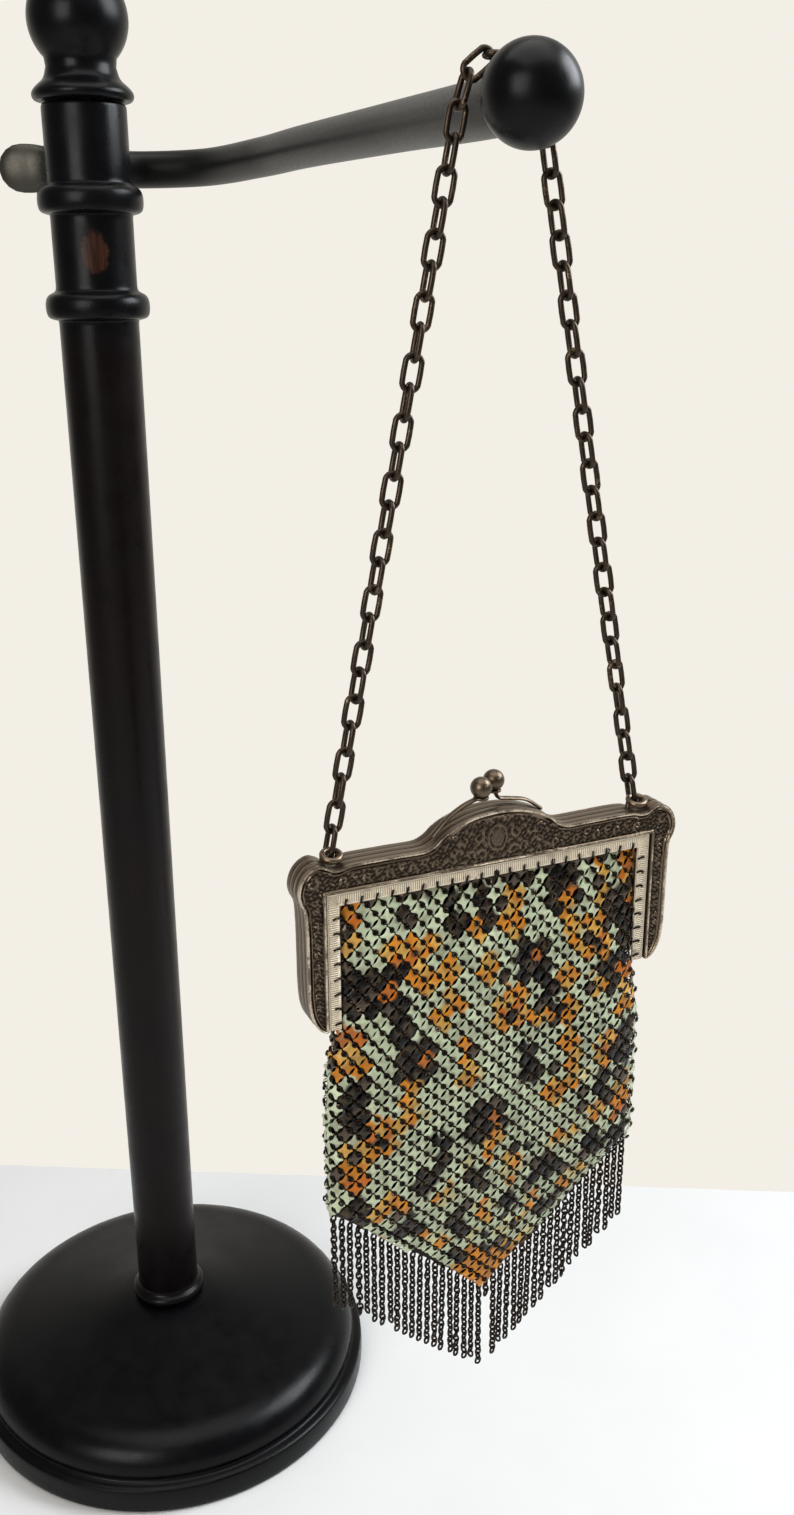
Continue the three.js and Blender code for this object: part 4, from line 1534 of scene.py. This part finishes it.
    def star(self) -> Stamp:
        """Shape one plate: a star with hollow sides, domed, with its tips folded down.

        Returns:
            The stamp, whose marks say where the metal shows.
        """
        bm = bmesh.new()
        bmesh.ops.create_circle(bm, cap_ends=True, segments=20, radius=1)
        wide = ((7, 1.64), (21, 1.2), (45, 0.95), (69, 1.28), (83, 1.8))
        narrow = ((7, 1.8), (21, 1.31), (45, 1.07), (69, 1.23), (83, 1.64))
        for k, vert in enumerate(sorted(bm.verts, key=lambda v: math.atan2(v.co.y, v.co.x) % (2 * math.pi))):
            angle, radius = (wide, narrow)[k // 5 % 2][k % 5]
            turn = math.radians(angle + 90 * (k // 5))
            vert.co = (radius * math.cos(turn), radius * math.sin(turn), 0.0)
        face = bm.faces[:]
        bmesh.ops.inset_individual(bm, faces=face, thickness=0.17, depth=0.08, use_even_offset=True)
        top = [f for f in bm.faces if len(f.verts) > 4]
        centre = bmesh.ops.poke(bm, faces=top)
        bmesh.ops.translate(bm, verts=centre["verts"], vec=(0, 0, 0.05))
        tips = [e for e in bm.edges if e.is_boundary and e.calc_length() < 0.46]
        folded = bmesh.ops.extrude_edge_only(bm, edges=tips)
        for vert in (g for g in folded["geom"] if isinstance(g, bmesh.types.BMVert)):
            vert.co = Vector((vert.co.x * 1.06, vert.co.y * 1.06, -0.5))
        rim = [e for e in bm.edges if e.is_boundary]
        wall = bmesh.ops.extrude_edge_only(bm, edges=rim)
        for vert in (g for g in wall["geom"] if isinstance(g, bmesh.types.BMVert)):
            vert.co = Vector((vert.co.x * 0.96, vert.co.y * 0.96, vert.co.z - 0.14))
        bmesh.ops.recalc_face_normals(bm, faces=bm.faces)
        return Stamp.of(bm, lambda p: 0.7 if p.z < -0.05 else 0.0)

    def colours(
        self, place: dict[str, np.ndarray], stamp: Stamp, rng: np.random.Generator,
    ) -> tuple[np.ndarray, np.ndarray]:
        """Choose the enamel at each point of the plates, which runs over a plate's edge here and there.

        Args:
            place: The plates' places.
            stamp: The plate's shape.
            rng: The random source of the wear.

        Returns:
            The colours, as rows of four for each point, and the bare share of each plate.
        """
        chart, wear = self.pattern.chart(), self.wear
        tints, bare = [], []
        half = self.columns // 2
        u, v = stamp.points[:, 0] / 2.0, -stamp.points[:, 1] / self.row
        for i, j, at, edge in zip(place["i"], place["j"], place["at"], place["edge"]):
            column = int(i) - half // 2 if i < half else half + half // 2 - int(i)
            near_rail = math.exp((at[2] + self.top) / wear.rail_reach)
            if at[2] > -LEG_LENGTH:
                near_rail += 0.5 * math.exp(-edge / wear.leg_reach)
            gone = rng.random() < wear.bare_share + wear.bare_by_rail * near_rail
            shade = max(1 + wear.shade_spread * rng.normal(), 0.7)
            beside = (int(rng.choice((-1, 1))), int(rng.choice((-1, 1))))
            pair = []
            for spot in ((column, int(j)), (column + beside[0], int(j) + beside[1])):
                charted = chart.get(spot, Enamel.MINT)
                enamel = charted if j < self.pattern.fan_top else self.pattern.fan(*spot)
                enamel = self.pattern.border(float(edge), spot[1]) or enamel
                pair.append([*(np.array((Enamel.BARE if gone else enamel).value) * shade), 1.0])
            limit = 0.1 + 0.5 * rng.random() if rng.random() < wear.run_share else math.inf
            tints.extend(pair[int(flag)] for flag in u * beside[0] + v * beside[1] > limit)
            if gone:
                bare.append(wear.bare_level)
            else:
                bare.append(wear.chipped_level if rng.random() < wear.chipped_share else 0.0)
        return np.array(tints), np.array(bare)

    def plates(
        self, place: dict[str, np.ndarray], front: bool, name: str, rng: np.random.Generator,
    ) -> bpy.types.Object:
        """Build one face's plates.

        Args:
            place: The plates' places.
            front: Whether it is the front face.
            name: The piece's name.
            rng: The random source of the wear.

        Returns:
            The piece.
        """
        stamp = self.star()
        keep = (place["i"] < self.columns // 2) == front
        part = {key: value[keep] for key, value in place.items()}
        lift = part["turn"][:, :, 2] * self.plate_lift
        mesh = stamp.repeat(name, part["at"] + PURSE + lift, part["turn"])
        tints, bare = self.colours(part, stamp, rng)
        put_values(mesh, "tint", tints)
        shown = np.repeat(bare, len(stamp.points)) + np.tile(stamp.marks, len(bare))
        put_values(mesh, "bare", np.clip(shown, 0, 1.4))
        return add_mesh(mesh, name, self.enamel, 50)

    def rings(self, place: dict[str, np.ndarray], front: bool, name: str) -> bpy.types.Object:
        """Build one face's rings.

        Args:
            place: The places of the plates that the rings stand beside.
            front: Whether it is the front face.
            name: The piece's name.

        Returns:
            The piece.
        """
        stamp = Stamp.of(ring_shape(0.5, 0.25, 12, 5))
        keep = (place["i"] < self.columns // 2) == front
        turn = place["turn"][keep]
        flat = np.stack([turn[:, :, 0], turn[:, :, 2], turn[:, :, 1]], 2)
        shift = turn @ np.array([self.ring_across, self.ring_up, self.ring_lift])
        at = place["at"][keep] + PURSE + shift
        return add_mesh(stamp.repeat(name, at, flat), name, self.bronze, 80)

    def shade_sheet(self) -> None:
        """Build a dark closed sheet inside the bag that the plates and rings lie on: painted shade, standing in
        for the shaded inside of the bag that shows through the gaps between the plates.
        """
        inset, across, edge_room = 0.75, 48, 0.6
        bm = bmesh.new()
        upper = np.linspace(-self.top - 0.6, -SIDE_DROP, 30)
        lower = np.linspace(-SIDE_DROP, -TIP_DROP + 1.5, 15)
        loops = []
        for z in (*upper, *lower[1:]):
            share = (np.arange(across) + 0.5) / across
            at = self.surface(share, np.full(across, z))
            room = BAG_HALF * min(1.0, (TIP_DROP + z) / (TIP_DROP - SIDE_DROP)) - edge_room
            at[:, 0] = np.clip(at[:, 0] * (room / BAG_HALF if z < -SIDE_DROP else 0.985), -room, room)
            at[:, 1] = np.sign(at[:, 1]) * np.maximum(np.abs(at[:, 1]) - inset, 0.12)
            verts = [bm.verts.new(p) for p in at + PURSE]
            loops.append([bm.edges.new((a, b)) for a, b in zip(verts, verts[1:] + verts[:1])])
        for one, other in zip(loops, loops[1:]):
            bmesh.ops.bridge_loops(bm, edges=one + other)
        bmesh.ops.holes_fill(bm, edges=[e for e in bm.edges if e.is_boundary], sides=0)
        bmesh.ops.recalc_face_normals(bm, faces=bm.faces)
        add_piece(bm, "mesh_shade_sheet", self.bronze, 60)

    def rail_rings(self) -> None:
        """Build the small rings that tie the bag to the rails."""
        stamp = Stamp.of(ring_shape(0.68, 0.28, 14, 6))
        out = OPENING_HALF - RAIL_GAP - RAIL_WIDTH
        spots, turns = [], []
        step, tilt = 3.66, 0.9
        rng = random.Random(5)
        for side in (-1, 1):
            y = side * (HALF_DEPTH - 0.6)
            across = [(-out + 1.6 + k * step, 0.5 - RAIL_WIDTH - RAIL_GAP, False) for k in range(21)]
            legs = [(s * (out + 0.7), -6.0 - k * step, True) for s in (-1, 1) for k in range(8)]
            for x, z, upright in across + legs:
                spots.append((x, y, z))
                turn = Matrix.Rotation(rng.uniform(-0.25, 0.25), 3, "Y")
                hung = Matrix.Rotation(tilt, 3, "X" if upright else "Z")
                turns.append(np.array(turn @ hung))
        mesh = stamp.repeat("rail_rings", np.array(spots) + PURSE, np.array(turns))
        add_mesh(mesh, "rail_rings", self.bronze, 80)

    def build(self) -> None:
        """Build the bag."""
        rng = np.random.default_rng(self.seed)
        plates = self.placed(rng)
        links = self.placed(rng)
        front = self.plates(plates, True, "mesh_plates_front", rng)
        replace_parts(front, "mesh_bag")
        self.plates(plates, False, "mesh_plates_back", rng)
        self.rings(links, True, "mesh_rings_front")
        self.rings(links, False, "mesh_rings_back")
        # Painted shade: a dark sheet inside the bag in place of the shade between its two faces.
        self.shade_sheet()
        self.rail_rings()


@dataclass
class Fringe:
    """The chains that hang from the seam of the bag."""

    strands: int = 40
    length: float = 25.5
    pitch: float = 1.5
    link_radius: float = 0.7
    wire: float = 0.29
    stretch: float = 0.22
    broken: int = 20
    bronze: bpy.types.Material = field(
        default_factory=lambda: Bronze("fringe_bronze", FRINGE_BROWN, FRINGE_RUBBED, 0.3).build()
    )

    def build(self) -> None:
        """Build the fringe as one mesh of alternating links."""
        stamp = Stamp.of(ring_shape(self.link_radius, self.wire, 12, 6, self.stretch))
        rng = random.Random(11)
        spots, turns = [], []
        for k in range(self.strands):
            x = (k - (self.strands - 1) / 2) * 2 * BAG_HALF / self.strands
            seam = -TIP_DROP + abs(x) / BAG_HALF * (TIP_DROP - SIDE_DROP)
            twist, lean = math.pi / 4 + rng.gauss(-0.45, 0.14), rng.gauss(0, 0.006)
            bend = rng.gauss(0, 0.006)
            count = 3 if k == self.broken else round(self.length / self.pitch) + rng.choice((0, 0, 0, -1))
            for n in range(count):
                drop = 0.5 + n * self.pitch
                sway = lean * drop + bend * drop * drop / self.length
                spots.append((x + sway, rng.gauss(0, 0.05), seam - drop))
                turn = twist + (math.pi / 2 if n % 2 else 0) + rng.gauss(0, 0.12)
                tilt = Matrix.Rotation(rng.gauss(0, 0.05) + lean, 3, "Y") @ Matrix.Rotation(turn, 3, "Z")
                turns.append(np.array(tilt))
        mesh = stamp.repeat("fringe_chains", np.array(spots) + PURSE, np.array(turns))
        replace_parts(add_mesh(mesh, "fringe_chains", self.bronze, 80), "fringe")


@dataclass
class Chain:
    """The handle's chain, laid over the arm as its solid in the frame is."""

    pitch: float = 5.7
    overlap: float = 0.06
    width: float = 4.7
    wire: float = 0.62
    arm_room: float = 0.85
    eye_room: float = 0.3
    frame: PurseFrame = field(default_factory=PurseFrame)
    stand: Stand = field(default_factory=Stand)
    bronze: bpy.types.Material = field(
        default_factory=lambda: Bronze("chain_bronze", CHAIN_BROWN, CHAIN_RUBBED, 0.4).build()
    )

    def route(self) -> tuple[np.ndarray, float]:
        """Give the chain's route in the plane of the purse.

        Returns:
            The route's points, and its distance behind that plane.
        """
        f = self.frame
        behind = f.eye_y + f.eye_radius * math.sin(f.eye_tilt)
        curve = spline(self.stand.arm_route, 60)
        over = min(curve, key=lambda p: abs(p.y - PURSE[1] - behind))
        centre = np.array([over.x - PURSE[0], over.z - PURSE[2]])
        radius = self.stand.arm_radius + self.width / 2 + self.arm_room
        rim = f.eye_z + f.eye_radius * math.cos(f.eye_tilt) - f.eye_wire
        ends, angles = [], []
        for side in (-1, 1):
            eye = np.array([side * f.eye_x, rim - self.eye_room - self.overlap / 2])
            down = eye - centre
            angle = math.atan2(down[1], down[0]) + side * math.acos(radius / np.hypot(*down))
            ends.append(eye)
            angles.append(angle + 2 * math.pi if side < 0 else angle)
        turn = np.linspace(angles[0], angles[1], 25)
        arc = centre + radius * np.stack([np.cos(turn), np.sin(turn)], 1)
        return np.concatenate([[ends[0]], arc, [ends[1]]]), behind

    def build(self) -> None:
        """Build the links as one mesh."""
        route, behind = self.route()
        total = float(np.linalg.norm(np.diff(route, axis=0), axis=1).sum())
        count = 2 * int(total / self.pitch / 2) + 1
        knots = resample(route, count + 1)
        radius = self.width / 2 - self.wire
        stretch = (total / count - self.overlap) / 2 + self.wire - radius
        stamp = Stamp.of(ring_shape(radius, self.wire, 24, 10, stretch))
        rng = random.Random(3)
        spots, turns = [], []
        for k, (a, b) in enumerate(zip(knots, knots[1:])):
            lean = math.atan2(b[0] - a[0], b[1] - a[1])
            own = 0 if k % 2 else math.pi / 2
            loose = rng.gauss(0, 0.09)
            turn = Matrix.Rotation(lean, 3, "Y") @ Matrix.Rotation(own + loose, 3, "Z")
            spots.append(((a[0] + b[0]) / 2, behind, (a[1] + b[1]) / 2))
            turns.append(np.array(turn))
        mesh = stamp.repeat("handle_chain", np.array(spots) + PURSE, np.array(turns))
        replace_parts(add_mesh(mesh, "handle_chain", self.bronze, 80), "carry_chain")


# The surroundings


@dataclass
class Studio:
    """The pale tabletop, the soft light and the camera at the photograph's angle."""

    camera_at: tuple[float, float, float] = (-104.2, -458.1, 426.15)
    yaw: float = 24.34
    pitch: float = 19.165
    roll: float = 0.316
    focal_pixels: float = 1355.95
    photo_height: float = 1515.0
    shift: tuple[float, float] = (0.00304, 0.00165)
    back_edge: tuple[tuple[float, float], tuple[float, float]] = ((-31.5, 158.6), (309.0, -22.5))

    def floor(self) -> None:
        """Lay the tabletop, whose back edge runs close behind the stand."""
        one, other = (Vector((*p, 0)) for p in self.back_edge)
        along = (other - one).normalized()
        back = Vector((-along.y, along.x, 0))
        middle = one + along * 150 - back * 1500
        bm = bmesh.new()
        turn = along.to_track_quat("X", "Z").to_matrix().to_4x4()
        place = Matrix.Translation(middle + Vector((0, 0, -10))) @ turn
        bmesh.ops.create_cube(bm, size=1, matrix=place @ Matrix.Diagonal((5000, 3000, 20, 1)))
        mesh = metre_mesh(bm, "tabletop")
        mesh.materials.append(Tabletop().build())
        top = bpy.data.objects.new("tabletop", mesh)
        bpy.context.scene.collection.objects.link(top)

    def lamp(
        self, name: str, at: Sequence[float], aim: Sequence[float], size: tuple[float, float],
        power: float, tone: Rgb,
    ) -> None:
        """Hang one soft panel of light.

        Args:
            name: The light's name.
            at: Its place.
            aim: The point that it faces.
            size: Its width and height.
            power: Its power in watts.
            tone: Its colour.
        """
        data = bpy.data.lights.new(name, "AREA")
        data.shape = "RECTANGLE"
        data.size, data.size_y = (s * MM for s in size)
        data.energy = power
        data.color = tone
        lamp = bpy.data.objects.new(name, data)
        lamp.location = Vector(at) * MM
        lamp.rotation_euler = (Vector(aim) - Vector(at)).to_track_quat("-Z", "Y").to_euler()
        bpy.context.scene.collection.objects.link(lamp)

    def lights(self) -> None:
        """Set the pale surroundings and the window-like panels."""
        world = bpy.data.worlds.new("pale_room")
        world.use_nodes = True
        nodes, links = world.node_tree.nodes, world.node_tree.links
        room = nodes["Background"]
        room.inputs["Color"].default_value = (*linear(243, 239, 230), 1)
        ahead = nodes.new("ShaderNodeVectorMath")
        ahead.operation = "DOT_PRODUCT"
        ahead.inputs[1].default_value = (0.39, 0.86, -0.33)
        links.new(nodes.new("ShaderNodeTexCoord").outputs["Generated"], ahead.inputs[0])
        shade = nodes.new("ShaderNodeMapRange")
        shade.interpolation_type = "SMOOTHSTEP"
        for name, number in (("From Min", 0.1), ("From Max", 0.78), ("To Min", 0.2), ("To Max", 1.0)):
            shade.inputs[name].default_value = number
        links.new(ahead.outputs["Value"], shade.inputs["Value"])
        links.new(shade.outputs["Result"], room.inputs["Strength"])
        bpy.context.scene.world = world
        self.lamp("window_right", (813, -304, 880), (20, -150, 330), (560, 560), 13.0, (0.90, 0.95, 1.0))
        self.lamp("window_left", (-700, -700, 650), (20, -200, 280), (500, 600), 5.5, (1.0, 0.98, 0.95))
        self.lamp("ceiling", (0, -200, 1200), (0, -100, 0), (900, 900), 5.5, (1.0, 0.99, 0.97))

    def camera(self) -> None:
        """Set the camera from its measured place, directions and lens."""
        data = bpy.data.cameras.new("camera")
        data.sensor_width = 36.0
        data.lens = data.sensor_width * self.focal_pixels / self.photo_height
        data.shift_x, data.shift_y = self.shift
        data.clip_start, data.clip_end = 0.01, 20.0
        camera = bpy.data.objects.new("camera", data)
        turns = ((-self.yaw, "Z"), (90 - self.pitch, "X"), (-self.roll, "Z"))
        yaw, pitch, roll = (Matrix.Rotation(math.radians(angle), 3, axis) for angle, axis in turns)
        camera.rotation_euler = (yaw @ pitch @ roll).to_euler()
        camera.location = Vector(self.camera_at) * MM
        bpy.context.scene.collection.objects.link(camera)
        bpy.context.scene.camera = camera

    def build(self) -> None:
        """Build the surroundings."""
        self.camera()
        self.floor()
        self.lights()
        bpy.context.scene.view_settings.view_transform = "Standard"


def main() -> None:
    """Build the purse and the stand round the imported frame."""
    logging.basicConfig(level=logging.INFO, format="%(message)s")
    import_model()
    Studio().build()
    stand = Stand()
    stand.build()
    frame = PurseFrame()
    frame.build()
    MeshBag().build()
    Fringe().build()
    Chain(frame=frame, stand=stand).build()


if __name__ == "__main__":
    main()
